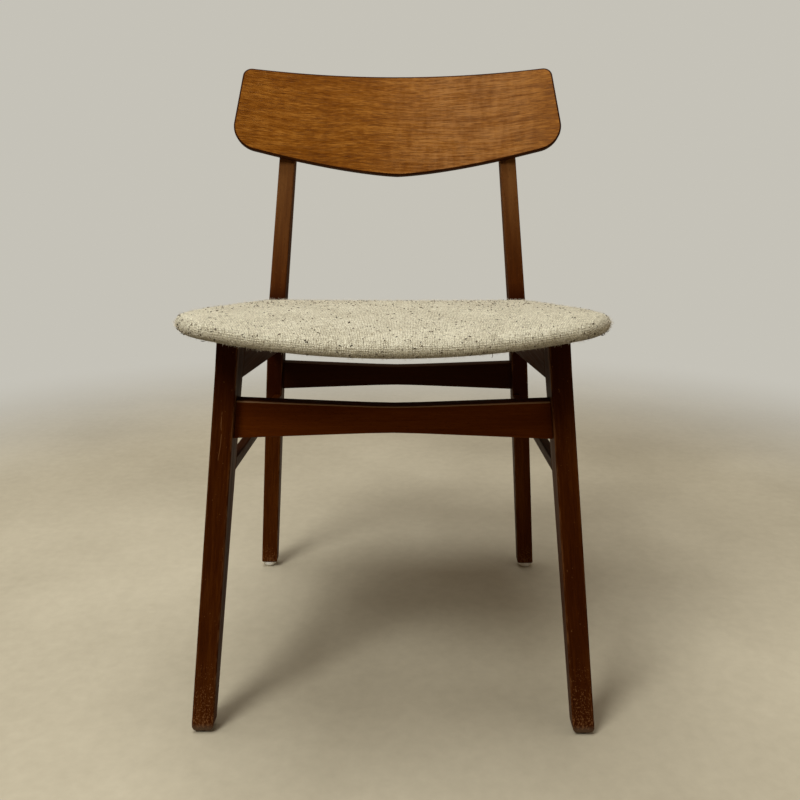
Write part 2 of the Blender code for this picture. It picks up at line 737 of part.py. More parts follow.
def build_seat(shop):
    outer = lower_rings(0.0, 0.0, EDGE_WRAP) + crowned_rings(0.0, 0.0)
    inner = lower_rings(COVER_THICKNESS, COVER_THICKNESS, BOARD_INSET - COVER_THICKNESS)
    inner += crowned_rings(COVER_THICKNESS, COVER_THICKNESS)
    middle = (0.0, SEAT_CENTRE_Y, seat_under(0.0, SEAT_CENTRE_Y))
    shop.add("seat_cover", loft(inner[::-1] + outer, tips=True), "wool_cloth", middle)

    board_top = BOARD_BASE + BOARD_THICKNESS
    board = [seat_ring(BOARD_INSET, scale, BOARD_BASE) for scale in (0.33, 0.67, 1.0)]
    board += [seat_ring(BOARD_INSET, scale, board_top) for scale in (1.0, 0.67, 0.33)]
    shop.add("seat_board", loft(board, tips=True), "plywood", middle)

    clear = COVER_THICKNESS + GAP
    foam = [seat_ring(BOARD_INSET, scale, board_top + GAP) for scale in (0.33, 0.67, 1.0)]
    foam += crowned_rings(clear, clear)[1:]
    shop.add("seat_foam", loft(foam, tips=True), "seat_foam", middle)

    base = COVER_THICKNESS - LINING_THICKNESS
    lining = [seat_ring(COVER_LIP + GAP, scale, base) for scale in (0.33, 0.67, 1.0)]
    lining += [seat_ring(COVER_LIP + GAP, scale, COVER_THICKNESS) for scale in (1.0, 0.67, 0.33)]
    shop.add("seat_lining", loft(lining, tips=True), "lining_cloth", middle)


# ------------------------------------------------------------------ joints and fixings

def add_dowel(shop, name, centre, direction, radius, half, pieces):
    """A dowel through a joint and its hole in both of the pieces it joins."""
    centre, direction = Vector(centre), Vector(direction).normalized()
    start, end = centre - direction * half, centre + direction * half
    shop.add(name, rod(start, end, radius), "plain_beech", centre)
    hole = rod(start - direction * GAP, end + direction * GAP, radius + GAP)
    for piece in pieces:
        shop.drill(piece, hole)


def add_cross_dowels(shop, label, side):
    """Pairs of dowels that hold the front stretcher and the rear rail to the legs."""
    pair = (("upper", 0.0105), ("lower", -0.0105))
    for level, offset in pair:
        z = FRONT_STRETCHER_TOP_Z - FRONT_STRETCHER_HEIGHT / 2 + offset
        x = side * (front_leg_x(z) - FRONT_WIDTH / 2)
        y = front_leg_front(z) + FRONT_STRETCHER_RECESS + FRONT_STRETCHER_THICKNESS / 2
        add_dowel(shop, "dowel_front_stretcher_{}_{}".format(level, label), (x, y, z), (1, 0, 0),
                  DOWEL_RADIUS, DOWEL_HALF, ("front_stretcher", "front_leg_" + label))
        z = REAR_RAIL_TOP_Z - REAR_RAIL_HEIGHT / 2 + offset
        x = side * (rear_leg_x(z) - REAR_WIDTH / 2)
        y = REAR_RAIL_Y + REAR_RAIL_THICKNESS / 2
        add_dowel(shop, "dowel_rear_rail_{}_{}".format(level, label), (x, y, z), (1, 0, 0),
                  DOWEL_RADIUS, DOWEL_HALF, ("rear_rail", "rear_leg_" + label))


def add_side_dowels(shop, label, side):
    """Dowels at both ends of a side rail and of a side stretcher."""
    rail, stretcher = "side_rail_" + label, "side_stretcher_" + label
    ends = (("front", front_leg_back, "front_leg_"), ("rear", rear_leg_front_line, "rear_leg_"))
    for place, face, leg in ends:
        guess = rail_bottom(face(0.40)) + 0.027
        for level, offset in (("upper", 0.012), ("lower", -0.012)):
            z = guess + offset
            y = face(z)
            x = side * (inner_face_x(y, z) + RAIL_THICKNESS / 2)
            add_dowel(shop, "dowel_{}_{}_{}".format(rail, place, level), (x, y, z), (0, 1, 0),
                      DOWEL_RADIUS, DOWEL_HALF, (rail, leg + label))
        z = stretcher_bottom(face(SIDE_STRETCHER_Z)) + SIDE_STRETCHER_HEIGHT / 2
        y = face(z)
        x = side * (inner_face_x(y, z) + SIDE_STRETCHER_THICKNESS / 2)
        add_dowel(shop, "dowel_{}_{}".format(stretcher, place), (x, y, z), (0, 1, 0),
                  SMALL_DOWEL_RADIUS, SMALL_DOWEL_HALF, (stretcher, leg + label))


def screw_shape(head, tip):
    """A screw from the face of its head to its tip."""
    length = (Vector(tip) - Vector(head)).length
    profile = ((0.0, SCREW_HEAD_RADIUS), (SCREW_HEAD_LENGTH * 0.5, SCREW_HEAD_RADIUS),
               (SCREW_HEAD_LENGTH, SCREW_RADIUS), (length - 0.004, SCREW_RADIUS), (length, 0.0006))
    return turned(head, tip, profile)


def add_screw(shop, name, mouth, head, tip, wide, through, into):
    """A sunk screw: a wide hole from the mouth to its head, then a narrow hole past its tip."""
    mouth, head, tip = Vector(mouth), Vector(head), Vector(tip)
    along = (tip - head).normalized()
    shop.add(name, screw_shape(head, tip), "steel", head)
    seat = (head - mouth).length
    shoulder = seat + SCREW_HEAD_LENGTH + GAP
    end = seat + (tip - head).length + GAP
    profile = ((-0.004, wide), (shoulder, wide), (shoulder, SCREW_RADIUS + GAP), (end, SCREW_RADIUS + GAP))
    hole = turned(mouth, mouth + along, profile)
    shop.drill(through, hole)
    shop.drill(into, rod(mouth + along * (shoulder + 0.001), mouth + along * end, SCREW_RADIUS + GAP))


def add_seat_screws(shop, label, side):
    """Screws up through a side rail and the cloth under the seat into the seat board."""
    rail = "side_rail_" + label
    for place, y, cloth in SEAT_SCREWS:
        bottom = rail_bottom(y)
        x = side * (inner_face_x(y, bottom) + RAIL_THICKNESS / 2 + 0.001)
        under = seat_under(x, y)
        tip = (x, y, under + BOARD_BASE + SEAT_SCREW_BITE)
        add_screw(shop, "seat_screw_{}_{}".format(place, label), (x, y, bottom),
                  (x, y, bottom + SEAT_SCREW_SUNK), tip, SCREW_HEAD_RADIUS + 2 * GAP, rail, "seat_board")
        shop.drill(cloth, rod((x, y, under - 0.002), (x, y, under + BOARD_BASE), SCREW_RADIUS + 2 * GAP))


def add_back_screws(shop, label, side):
    """Screws through a post into the backrest board, each hidden by a plug."""
    post = "rear_leg_" + label
    for place, up in zip(("lower", "upper"), BACK_SCREW_UP):
        centre_z = on_back_plane(0.0, up, 0.0)[2]
        x = side * rear_leg_x(centre_z)
        surface = board_curve(x) - GAP
        thick = post_thickness(up)
        mouth = on_back_plane(x, up, -thick)
        head = on_back_plane(x, up, -thick + BACK_SCREW_SUNK)
        tip = on_back_plane(x, up, surface + BACK_SCREW_BITE)
        add_screw(shop, "backrest_screw_{}_{}".format(place, label), mouth, head, tip,
                  PLUG_RADIUS + GAP, post, "backrest_board")
        plug_end = on_back_plane(x, up, -thick + PLUG_LENGTH)
        shop.add("backrest_plug_{}_{}".format(place, label), rod(mouth, plug_end, PLUG_RADIUS),
                 "stained_beech", mouth)


def post_thickness(up):
    """Thickness of a post square to its front face."""
    thick = 0.024
    for _ in range(6):
        x, y, z = on_back_plane(0.0, up, -thick)
        thick -= (y - rear_leg_back(z)) * math.cos(LEAN)
    return thick


# ------------------------------------------------------------------ the whole chair

def set_on_origin(shop):
    """Move the chair back so that the origin is under the middle of its overall depth."""
    shop.cut_holes()
    bpy.context.view_layer.update()
    depths = []
    for piece in shop.pieces.values():
        depths += [(piece.matrix_world @ vert.co).y for vert in piece.data.vertices]
    shop.root.location = (0.0, -(min(depths) + max(depths)) / 2, 0.0)


def build_chair():
    clear_scene()
    shop = Workshop()
    for label, side in SIDES:
        build_front_leg(shop, label, side)
        build_rear_leg(shop, label, side)
        build_side_rail(shop, label, side)
        build_side_stretcher(shop, label, side)
        build_glide(shop, "front", label, side)
        build_glide(shop, "rear", label, side)
    build_front_stretcher(shop)
    build_rear_rail(shop)
    build_backrest(shop)
    build_seat(shop)
    for label, side in SIDES:
        add_cross_dowels(shop, label, side)
        add_side_dowels(shop, label, side)
        add_seat_screws(shop, label, side)
        add_back_screws(shop, label, side)
    set_on_origin(shop)


build_chair()
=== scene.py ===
"""Looks of the side chair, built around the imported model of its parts.

Units are metres, +Z is up and the sitter faces -Y. Left is the -X side and right is the +X side.
"""

import collections
import math
import random

import bmesh
import bpy
import numpy as np
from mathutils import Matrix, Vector


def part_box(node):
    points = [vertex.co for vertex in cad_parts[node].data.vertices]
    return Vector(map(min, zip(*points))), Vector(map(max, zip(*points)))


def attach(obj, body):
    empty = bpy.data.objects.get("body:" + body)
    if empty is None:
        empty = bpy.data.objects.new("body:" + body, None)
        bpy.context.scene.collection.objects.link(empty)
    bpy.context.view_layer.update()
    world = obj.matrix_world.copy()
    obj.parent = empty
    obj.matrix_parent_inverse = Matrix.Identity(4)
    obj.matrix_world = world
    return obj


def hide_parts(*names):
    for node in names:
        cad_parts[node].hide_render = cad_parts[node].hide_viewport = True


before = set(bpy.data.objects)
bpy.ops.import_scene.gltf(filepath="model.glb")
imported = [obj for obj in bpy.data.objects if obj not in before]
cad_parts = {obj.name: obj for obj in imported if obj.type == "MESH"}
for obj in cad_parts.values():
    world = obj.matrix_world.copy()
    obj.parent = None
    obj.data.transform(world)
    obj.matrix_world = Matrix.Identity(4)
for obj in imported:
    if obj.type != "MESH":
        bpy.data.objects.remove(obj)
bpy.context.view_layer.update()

# --- camera, measured from the middle of the chair on the floor ---
CAMERA_PLACE = (0.0162, -1.1056, 0.6238)
CAMERA_PITCH = 8.915          # degrees below the horizon
CAMERA_YAW = 0.520            # degrees to the left
CAMERA_LENS = 37.8            # millimetres on a 36 mm sensor
CAMERA_SHIFT = -0.115

# --- seat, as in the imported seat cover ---
SEAT_FRONT_CHORD_Y = 0.0049   # depths here and below are from near the feet's front edge
SEAT_REAR_CHORD_Y = 0.4045
CHAIR_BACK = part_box("seat_cover")[1].y - SEAT_REAR_CHORD_Y    # moves such a depth into the frame
SEAT_HALF_FRONT = 0.2393
SEAT_HALF_REAR = 0.1989
SEAT_FRONT_CORNER = 0.0334
SEAT_REAR_CORNER = 0.0384
SEAT_FRONT_BOW = 0.0446
SEAT_SIDE_BOW = 0.0094
SEAT_CENTRE_Y = 0.20
SEAT_UNDER_Z = 0.4375
SEAT_REFERENCE_Y = 0.071
SEAT_SLOPE = 0.098
SEAT_DISH = 0.0216
SEAT_DISH_X = 0.25
SEAT_ROLL = 0.0073
SEAT_ROLL_START_Y = 0.12
SEAT_ROLL_LENGTH = 0.16
EDGE_LOWER = 0.0089           # height of the seat's widest line above its underside
EDGE_UPPER = 0.0150           # height from there to the top of the edge
EDGE_ROUND = 0.0141           # reach of the edge's upper rounding
EDGE_WRAP = 0.010             # reach of the edge's lower rounding
CROWN = 0.0185                # extra thickness in the middle
CROWN_FALL = 0.3              # how much the crown's outer part is lowered
COVER_LIP = 0.030             # width of the cloth turned under the board
COVER_THICKNESS = 0.002
COVER_GAP = 0.0001            # keeps the cloth under the board just off the pocket's floor
BOARD_POCKET = 0.0052         # inset of the hollow that holds the seat board
BOARD_POCKET_TOP = 0.0121
SEAT_ACROSS = 100             # quads from side to side
SEAT_ALONG = 90               # quads from front to back
SEAT_CORNER_STEPS = 24
WRAP_STEPS = 4                # rows over the edge's lower rounding
EDGE_STEPS = 7                # rows over its upper rounding
SEAT_SLACK = 0.0025           # how much lower the cushion's top starts before it swells
EDGE_SLACK = 0.0004           # how much narrower it starts
SWELL_LIMIT = 0.0016          # the furthest that swelling moves a point
SWELL_PRESSURE = 0.6
SWELL_FRAMES = 20

# --- backrest board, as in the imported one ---
POST_KNEE_Y = 0.4025
KNEE_Z = 0.4167
LEAN = math.radians(16.29)
BOARD_THICK = 0.012
BOARD_SAGITTA = 0.040
BOARD_HALF_CHORD = 0.245
BOARD_TOUCH_X = 0.170
BOARD_TOP = 0.381
BOARD_BOTTOM = 0.2193
BOARD_RISE = 0.0304
BOARD_RISE_X = 0.215
BOARD_RISE_POWER = 1.34
BOARD_TOP_HALF = 0.2376
BOARD_CORNER = (0.2551, 0.2566)
BOARD_TOP_RADIUS = 0.015
BOARD_BOTTOM_RADIUS = 0.036
BOARD_EDGE_ROUND = 0.0026
BOARD_LOWER_SHARE = 0.96      # how much of the rising lower edge comes before the corner's rounding
BOARD_LOW_CORNER_STEPS = 16
BOARD_TOP_CORNER_STEPS = 10
BOARD_ROUND_STEPS = 5
BOARD_LOWER_STEPS = 28
BOARD_STRIPS = 72

HARD_CORNER = 50.0            # degrees; edges that turn less are shaded smoothly
WELD_REACH = 1e-5

# --- legs, for the direction of their grain: a leg's middle at the floor, its slopes and half sizes ---
# foot_wear is how high the foot is scuffed; from shelter up to the seat the stain is darkened by painted
# shade, of strength shade
Leg = collections.namedtuple("Leg", "floor_x splay floor_y rake knee_rake half_width half_depth "
                                    "foot_wear shelter shade")
FRONT_LEG = Leg(0.216, 0.064, 0.010, 0.1924, 0.0, 0.0124, 0.012, 0.15, 0.335, 0.75)
REAR_LEG = Leg(0.2067, 0.0527, 0.4229, -0.0043, 0.272, 0.0122, 0.010, 0.09, 0.24, 0.95)

# --- wear and changes of tone in the wood ---
ARRIS_RUB = 0.0030            # how far wear reaches from a leg's long edges
RUB_ACROSS = 0.0009           # a long rubbed line runs down the left front leg, this far off its middle
RUB_WIDTH = 0.0006
RUB_LOW, RUB_HIGH = 0.308, 0.357
RUB_FADE = 0.006              # distance over which the line's ends fade
SHELTER_RISE = 0.07           # height over which a leg darkens towards the seat
SHELTER_TOP = (0.43, 0.47)    # heights between which that darkening ends
POST_TONE = (0.40, 0.66)      # heights between which a post turns browner, partly its stain and partly a painted sheen
LUSTRE_LEFT = (-0.07, 0.09)   # a painted sheen, a paler patch on the backrest, starts and is full at these places
LUSTRE_RIGHT = (0.25, 0.17)   # and the same from its other side
GRAIN_SHIFT = 7.0             # how far apart the grain of alike pieces is taken

# --- room and lights ---
Light = collections.namedtuple("Light", "name place size power colour")
LIGHTS = (Light("key_light", (-1.3, -1.7, 2.7), 1.2, 56.0, (0.99, 0.985, 0.93)),
          Light("top_light", (-0.3, 0.0, 3.0), 1.7, 51.0, (0.99, 0.99, 0.95)),
          Light("fill_light", (2.2, -0.9, 1.6), 1.6, 4.0, (1.0, 0.96, 0.90)))
LIGHT_TARGET = Vector((0.0, 0.0, 0.4))
FLOOR_RADIUS = 3.0
FLOOR_FADE = (0.85, 1.9)      # the floor fades into the pale room between these distances
ROOM_COLOUR = (0.560, 0.540, 0.480)
ROOM_GLOW = (0.170, 0.128, 0.086)       # the room's softer light on the chair

# --- colours, as linear red, green and blue ---
FLOOR_DARK = (0.44, 0.395, 0.295)
FLOOR_LIGHT = (0.56, 0.51, 0.39)
STAIN_DARK = (0.019, 0.0024, 0.0001)
STAIN_MIDDLE = (0.042, 0.0084, 0.0003)
STAIN_LIGHT = (0.080, 0.0215, 0.0015)
POST_BROWN_AND_SHEEN = (0.150, 0.062, 0.0170)
WORN_BEECH = (0.170, 0.072, 0.026)
FOOT_DUST = (0.120, 0.082, 0.052)
# a painted highlight for a bar's rounded upper front edge
EDGE_HIGHLIGHT = (0.360, 0.210, 0.115)
VENEER_DARK = (0.105, 0.028, 0.0010)
VENEER_MIDDLE = (0.190, 0.059, 0.0028)
VENEER_LIGHT = (0.330, 0.128, 0.016)
VENEER_SHEEN = (0.400, 0.195, 0.068)
VENEER_PORE = (0.065, 0.018, 0.001)
WOOL_DARK = (0.22, 0.182, 0.118)
WOOL_MIDDLE = (0.67, 0.62, 0.455)
WOOL_LIGHT = (0.90, 0.87, 0.71)
WOOL_UNDERSIDE_SHADE = (0.16, 0.128, 0.090)
FIBRE_DARK = (0.52, 0.45, 0.34)
FIBRE_LIGHT = (0.88, 0.82, 0.70)
NUB_DARK = (0.020, 0.014, 0.010)
NUB_LIGHT = (0.130, 0.095, 0.062)
GLIDE_DIRT = (0.12, 0.10, 0.08)

# --- wool cloth ---
YARN_PITCH = 0.0017
YARN_WANDER = 0.0016          # how far the yarns stray from straight lines
LINING_PITCH = 0.0006
# one kind of fleck: spacing of its cells, share of them that holds one, radii, colour
Fleck = collections.namedtuple("Fleck", "cell share low high colour")
FLECKS = (Fleck(0.0028, 0.34, 0.00035, 0.00085, (0.24, 0.19, 0.13)),
          Fleck(0.0040, 0.30, 0.00045, 0.00090, (0.100, 0.074, 0.050)),
          Fleck(0.0080, 0.34, 0.00070, 0.00130, (0.050, 0.034, 0.022)))
POCKET_ROWS = 3               # rows of faces inside the pocket for the board
FUZZ_COUNT = 14000
FUZZ_LENGTH = (0.0014, 0.0040)
FUZZ_RADIUS = 0.00010
FUZZ_EDGE = 7.0               # how many times thicker the fuzz is on the rounded edge
FUZZ_ROOT = 0.0006            # how deep a fibre starts in the cloth
NUB_COUNT = 850
NUB_LENGTH = (0.0012, 0.0034)
NUB_RADIUS = (0.00030, 0.00075)
NUB_BEND = 0.15               # share of its length that a slub bends sideways
NUB_PROUD = 0.4               # share of its radius that its middle lies above the cloth
THREAD_COUNT = 22
THREAD_LENGTH = (0.004, 0.010)
THREAD_RADIUS = 0.00030
THREAD_ROOT = 0.001
THREAD_CURL = (0.4, 1.3)      # radians that a thread turns in half its length
THREAD_STEPS = 6


# ---------- camera, light and floor

def in_scene(name, data):
    """A new object, put in the scene."""
    made = bpy.data.objects.new(name, data)
    bpy.context.scene.collection.objects.link(made)
    return made


def add_camera():
    data = bpy.data.cameras.new("camera")
    data.lens = CAMERA_LENS
    data.sensor_width = 36.0
    data.shift_y = CAMERA_SHIFT
    camera = in_scene("camera", data)
    camera.location = CAMERA_PLACE
    camera.rotation_euler = (math.radians(90 - CAMERA_PITCH), 0.0, math.radians(CAMERA_YAW))
    bpy.context.scene.camera = camera


def add_lights():
    """Round soft lights that all face the chair."""
    for light in LIGHTS:
        data = bpy.data.lights.new(light.name, "AREA")
        data.shape = "DISK"
        data.size = light.size
        data.energy = light.power
        data.color = light.colour
        lamp = in_scene(light.name, data)
        lamp.location = light.place
        lamp.rotation_euler = (LIGHT_TARGET - Vector(light.place)).to_track_quat("-Z", "Y").to_euler()


def add_room():
    """A pale room that shows at its full tone and lights the chair more softly."""
    world = bpy.data.worlds.new("pale_room")
    world.use_nodes = True
    tree = world.node_tree
    shown = tree.nodes["Background"]
    shown.inputs["Color"].default_value = (*ROOM_COLOUR, 1.0)
    lighting = tree.nodes.new("ShaderNodeBackground")
    lighting.inputs["Color"].default_value = (*ROOM_GLOW, 1.0)
    choice = tree.nodes.new("ShaderNodeMixShader")
    tree.links.new(tree.nodes.new("ShaderNodeLightPath").outputs["Is Camera Ray"], choice.inputs["Fac"])
    tree.links.new(lighting.outputs[0], choice.inputs[1])
    tree.links.new(shown.outputs[0], choice.inputs[2])
    tree.links.new(choice.outputs[0], tree.nodes["World Output"].inputs["Surface"])
    bpy.context.scene.world = world


def add_floor():
    work = bmesh.new()
    bmesh.ops.create_circle(work, cap_ends=True, radius=FLOOR_RADIUS, segments=96)
    mesh = bpy.data.meshes.new("floor")
    work.to_mesh(mesh)
    work.free()
    mesh.materials.append(floor_material())
    in_scene("floor", mesh)


# ---------- material helpers

class Nodes:
    """Short calls for building a node material."""

    def __init__(self, name):
        self.material = bpy.data.materials.new(name)
        self.material.use_nodes = True
        self.tree = self.material.node_tree
        self.shader = self.tree.nodes["Principled BSDF"]

    def add(self, kind, **settings):
        node = self.tree.nodes.new(kind)
        for key, value in settings.items():
            setattr(node, key, value)
        return node

    def set(self, socket, value):
        """Link a socket to an output, or give it a plain value."""
        if isinstance(value, bpy.types.NodeSocket):
            self.tree.links.new(value, socket)
        else:
            socket.default_value = value

    def put(self, node, **values):
        """Set a node's inputs by their names, with _ for a space."""
        for name, value in values.items():
            self.set(node.inputs[name.replace("_", " ")], value)
        return node

    def math(self, operation, *values):
        """A Math node's result from outputs and plain numbers."""
        node = self.add("ShaderNodeMath", operation=operation)
        for socket, value in zip(node.inputs, values):
            self.set(socket, value)
        return node.outputs[0]

    def times(self, product, *others):
        """The product of two or more values."""
        for other in others:
            product = self.math("MULTIPLY", product, other)
        return product

    def blend(self, *pairs):
        """The sum of values, each times its weight."""
        total = 0.0
        for value, weight in pairs:
            total = self.math("MULTIPLY_ADD", value, weight, total)
        return total

    def stretch(self, value, low, high, to_low=0.0, to_high=1.0):
        """Map a range of a value to another, smoothly and clamped."""
        node = self.add("ShaderNodeMapRange", interpolation_type="SMOOTHSTEP")
        self.put(node, Value=value, From_Min=low, From_Max=high, To_Min=to_low, To_Max=to_high)
        return node.outputs["Result"]

    def noise(self, place, scale, detail=2.0, roughness=0.5):
        node = self.add("ShaderNodeTexNoise")
        self.put(node, Vector=place, Scale=scale, Detail=detail, Roughness=roughness)
        return node.outputs["Fac"]

    def mapped(self, place, scales):
        return self.put(self.add("ShaderNodeMapping"), Vector=place, Scale=scales).outputs["Vector"]

    def grain(self, place, scales, detail=2.0, roughness=0.5):
        """Noise with a scale for each axis; a low one draws it out into streaks that way."""
        return self.noise(self.mapped(place, scales), 1.0, detail, roughness)

    def weave(self, x, y, pitch):
        """A plain weave's crossings: one set of yarns is on top above zero, the other below."""
        along, across = (self.math("SINE", self.times(value, math.pi / pitch)) for value in (x, y))
        return self.times(along, across)

    def ramp(self, value, stops):
        node = self.put(self.add("ShaderNodeValToRGB"), Fac=value)
        elements = node.color_ramp.elements
        while len(elements) < len(stops):
            elements.new(0.5)
        for element, (place, colour) in zip(elements, stops):
            element.position = place
            element.color = (*colour, 1.0)
        return node.outputs["Color"]

    def tint(self, colour, plain, mask, strength=1.0):
        """Turn a colour into a plain one where the mask says."""
        node = self.add("ShaderNodeMix", data_type="RGBA")
        factor, from_colour, to_colour = node.inputs[0], node.inputs[6], node.inputs[7]
        self.set(factor, self.times(mask, strength))
        self.set(from_colour, colour)
        self.set(to_colour, (*plain, 1.0))
        return node.outputs[2]

    def place(self):
        return self.add("ShaderNodeTexCoord").outputs["Object"]

    def attribute(self, name):
        return self.add("ShaderNodeAttribute", attribute_name=name).outputs["Vector"]

    def facing(self):
        """The x, y and z of the direction that the surface faces."""
        return self.parts(self.add("ShaderNodeNewGeometry").outputs["True Normal"])

    def parts(self, vector):
        """A vector's x, y and z."""
        return self.put(self.add("ShaderNodeSeparateXYZ"), Vector=vector).outputs[:]

    def joined(self, x, y, z):
        return self.put(self.add("ShaderNodeCombineXYZ"), X=x, Y=y, Z=z).outputs[0]

    def moved(self, place, move):
        """A place moved by another vector, or by the same amount along each axis."""
        node = self.add("ShaderNodeVectorMath", operation="ADD")
        for socket, value in zip(node.inputs, (place, move)):
            self.set(socket, value)
        return node.outputs[0]

    def wandering(self, place, scale, distance):
        """A place moved about by smooth noise, so that straight lines become slightly wavy."""
        wander = self.put(self.add("ShaderNodeTexNoise"), Vector=place, Scale=scale)
        pull = self.add("ShaderNodeVectorMath", operation="SCALE")
        self.put(pull, Vector=wander.outputs["Color"], Scale=distance)
        return self.moved(place, pull.outputs[0])

    def paint(self, colour):
        self.put(self.shader, Base_Color=colour)

    def roughen(self, pattern, low, high):
        """Let the roughness follow a pattern between two values."""
        self.put(self.shader, Roughness=self.stretch(pattern, 0.3, 0.7, low, high))

    def bump(self, height, distance, strength=1.0):
        node = self.put(self.add("ShaderNodeBump"), Height=height, Distance=distance, Strength=strength)
        self.put(self.shader, Normal=node.outputs["Normal"])

    def finish(self, **constants):
        self.put(self.shader, **constants)
        return self.material


def floor_material():
    """Pale smooth concrete that fades out into the room around it."""
    build = Nodes("pale_floor")
    place = build.place()
    cloudy = build.noise(place, 2.4, 5.0, 0.55)
    fine = build.noise(place, 60.0, 3.0, 0.6)
    tone = build.blend((cloudy, 0.75), (fine, 0.25))
    build.paint(build.ramp(tone, ((0.35, FLOOR_DARK), (0.65, FLOOR_LIGHT))))
    out = build.put(build.add("ShaderNodeVectorMath", operation="LENGTH"), Vector=place)
    build.put(build.shader, Alpha=build.stretch(out.outputs["Value"], *FLOOR_FADE, 1.0, 0.0))
    build.bump(fine, 0.0004, 0.5)
    return build.finish(Roughness=0.7)


# ---------- shape helpers

def new_piece(name, mesh):
    """Put a finished mesh in the scene as a piece that rides on the chair."""
    piece = in_scene(name, mesh)
    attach(piece, "root")
    return piece


def mesh_from(name, points, faces):
    """A smoothly shaded mesh with its faces turned outwards."""
    mesh = bpy.data.meshes.new(name)
    mesh.from_pydata([tuple(p) for p in points], [], faces)
    work = bmesh.new()
    work.from_mesh(mesh)
    bmesh.ops.recalc_face_normals(work, faces=work.faces)
    work.to_mesh(mesh)
    work.free()
    mesh.shade_smooth()
    return mesh


def fillet(before, corner, after, radius, steps):
    """Arc points that round a corner between two straight edges."""
    before, corner, after = Vector(before), Vector(corner), Vector(after)
    back = (before - corner).normalized()
    ahead = (after - corner).normalized()
    half = math.acos(max(-1.0, min(1.0, back.dot(ahead)))) / 2
    centre = corner + (back + ahead).normalized() * (radius / math.sin(half))
    first = corner + back * (radius / math.tan(half)) - centre
    last = corner + ahead * (radius / math.tan(half)) - centre
    start = math.atan2(first.y, first.x)
    turn = math.atan2(last.y, last.x) - start
    turn = (turn + math.pi) % (2 * math.pi) - math.pi
    angles = [start + turn * step / steps for step in range(steps + 1)]
    return [(centre.x + radius * math.cos(a), centre.y + radius * math.sin(a)) for a in angles]


def moved_inwards(outline, distance):
    """An anticlockwise closed outline, an array of (x, y), moved inwards."""
    run = np.roll(outline, -1, axis=0) - np.roll(outline, 1, axis=0)
    run /= np.linalg.norm(run, axis=1)[:, None]
    return outline + np.stack((-run[:, 1], run[:, 0]), axis=1) * distance


def evenly_spaced(points, count):
    """A line's points, resampled to equal steps."""
    points = np.array(points)
    steps = np.linalg.norm(np.diff(points, axis=0), axis=1)
    along = np.concatenate(([0.0], np.cumsum(steps)))
    wanted = np.linspace(0.0, along[-1], count + 1)
    return np.stack([np.interp(wanted, along, points[:, axis]) for axis in range(2)], axis=1)


def ring_faces(low, high, count):
    """Quads between two rings of points, by the index of each ring's first point."""
    faces = []
    for i in range(count):
        j = (i + 1) % count
        faces.append((low + i, low + j, high + j, high + i))
    return faces


def strand(points, radii, sides):
    """A closed tube along a few points, as points and faces."""
    last = len(points) - 1
    across = (points[1] - points[0]).orthogonal()
    made, faces = [], []
    for index, point in enumerate(points):
        ahead = (points[min(index + 1, last)] - points[max(index - 1, 0)]).normalized()
        across = (across - ahead * across.dot(ahead)).normalized()
        other = ahead.cross(across)
        for side in range(sides):
            angle = 2 * math.pi * side / sides
            made.append(point + (across * math.cos(angle) + other * math.sin(angle)) * radii[index])
    for index in range(last):
        faces += ring_faces(index * sides, (index + 1) * sides, sides)
    faces.append(tuple(range(sides))[::-1])
    faces.append(tuple(range(last * sides, (last + 1) * sides)))
    return made, faces


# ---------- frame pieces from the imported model

def smoothing_group():
    """Geometry nodes that weld split corners and shade everything but hard corners smoothly."""
    group = bpy.data.node_groups.new("smooth_roundings", "GeometryNodeTree")
    for way in ("INPUT", "OUTPUT"):
        group.interface.new_socket("Geometry", in_out=way, socket_type="NodeSocketGeometry")
    start = group.nodes.new("NodeGroupInput")
    weld = group.nodes.new("GeometryNodeMergeByDistance")
    smooth = group.nodes.new("GeometryNodeSetShadeSmooth")
    sharp = group.nodes.new("GeometryNodeSetShadeSmooth")
    end = group.nodes.new("NodeGroupOutput")
    for before, after in ((start, weld), (weld, smooth), (smooth, sharp), (sharp, end)):
        group.links.new(before.outputs[0], after.inputs[0])
    weld.inputs["Distance"].default_value = WELD_REACH
    for shading, domain, is_smooth in ((smooth, "FACE", True), (sharp, "EDGE", False)):
        shading.domain = domain
        shading.inputs["Shade Smooth"].default_value = is_smooth
    hard = group.nodes.new("FunctionNodeCompare")
    hard.operation = "GREATER_THAN"
    hard.inputs["B"].default_value = math.radians(HARD_CORNER)
    angle = group.nodes.new("GeometryNodeInputMeshEdgeAngle")
    group.links.new(angle.outputs["Unsigned Angle"], hard.inputs["A"])
    group.links.new(hard.outputs[0], sharp.inputs["Selection"])
    return group


def smooth_piece(piece, group):
    """Shade a piece's roundings smoothly and keep its flats flat; no point moves."""
    nodes = piece.modifiers.new("smooth_roundings", "NODES")
    nodes.node_group = group
    weighted = piece.modifiers.new("flat_flats", "WEIGHTED_NORMAL")
    weighted.keep_sharp = True
    weighted.weight = 100


def dress_nodes(materials):
    """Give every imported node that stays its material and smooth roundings."""
    group = smoothing_group()
    for name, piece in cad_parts.items():
        for key, material in materials:
            if name.startswith(key):
                piece.data.materials.clear()
                piece.data.materials.append(material)
                break
        smooth_piece(piece, group)


# ---------- backrest

def on_back_plane(x, up, forward):
    """A point by its distance up the plane of the posts' front faces and in front of that plane."""
    y = POST_KNEE_Y + up * math.sin(LEAN) - forward * math.cos(LEAN) + CHAIR_BACK
    z = KNEE_Z + up * math.cos(LEAN) + forward * math.sin(LEAN)
    return (x, y, z)


def board_curve(x):
    """How far the bent board comes forward from the posts' plane at a place across it."""
    return BOARD_SAGITTA * (x * x - BOARD_TOUCH_X ** 2) / BOARD_HALF_CHORD ** 2


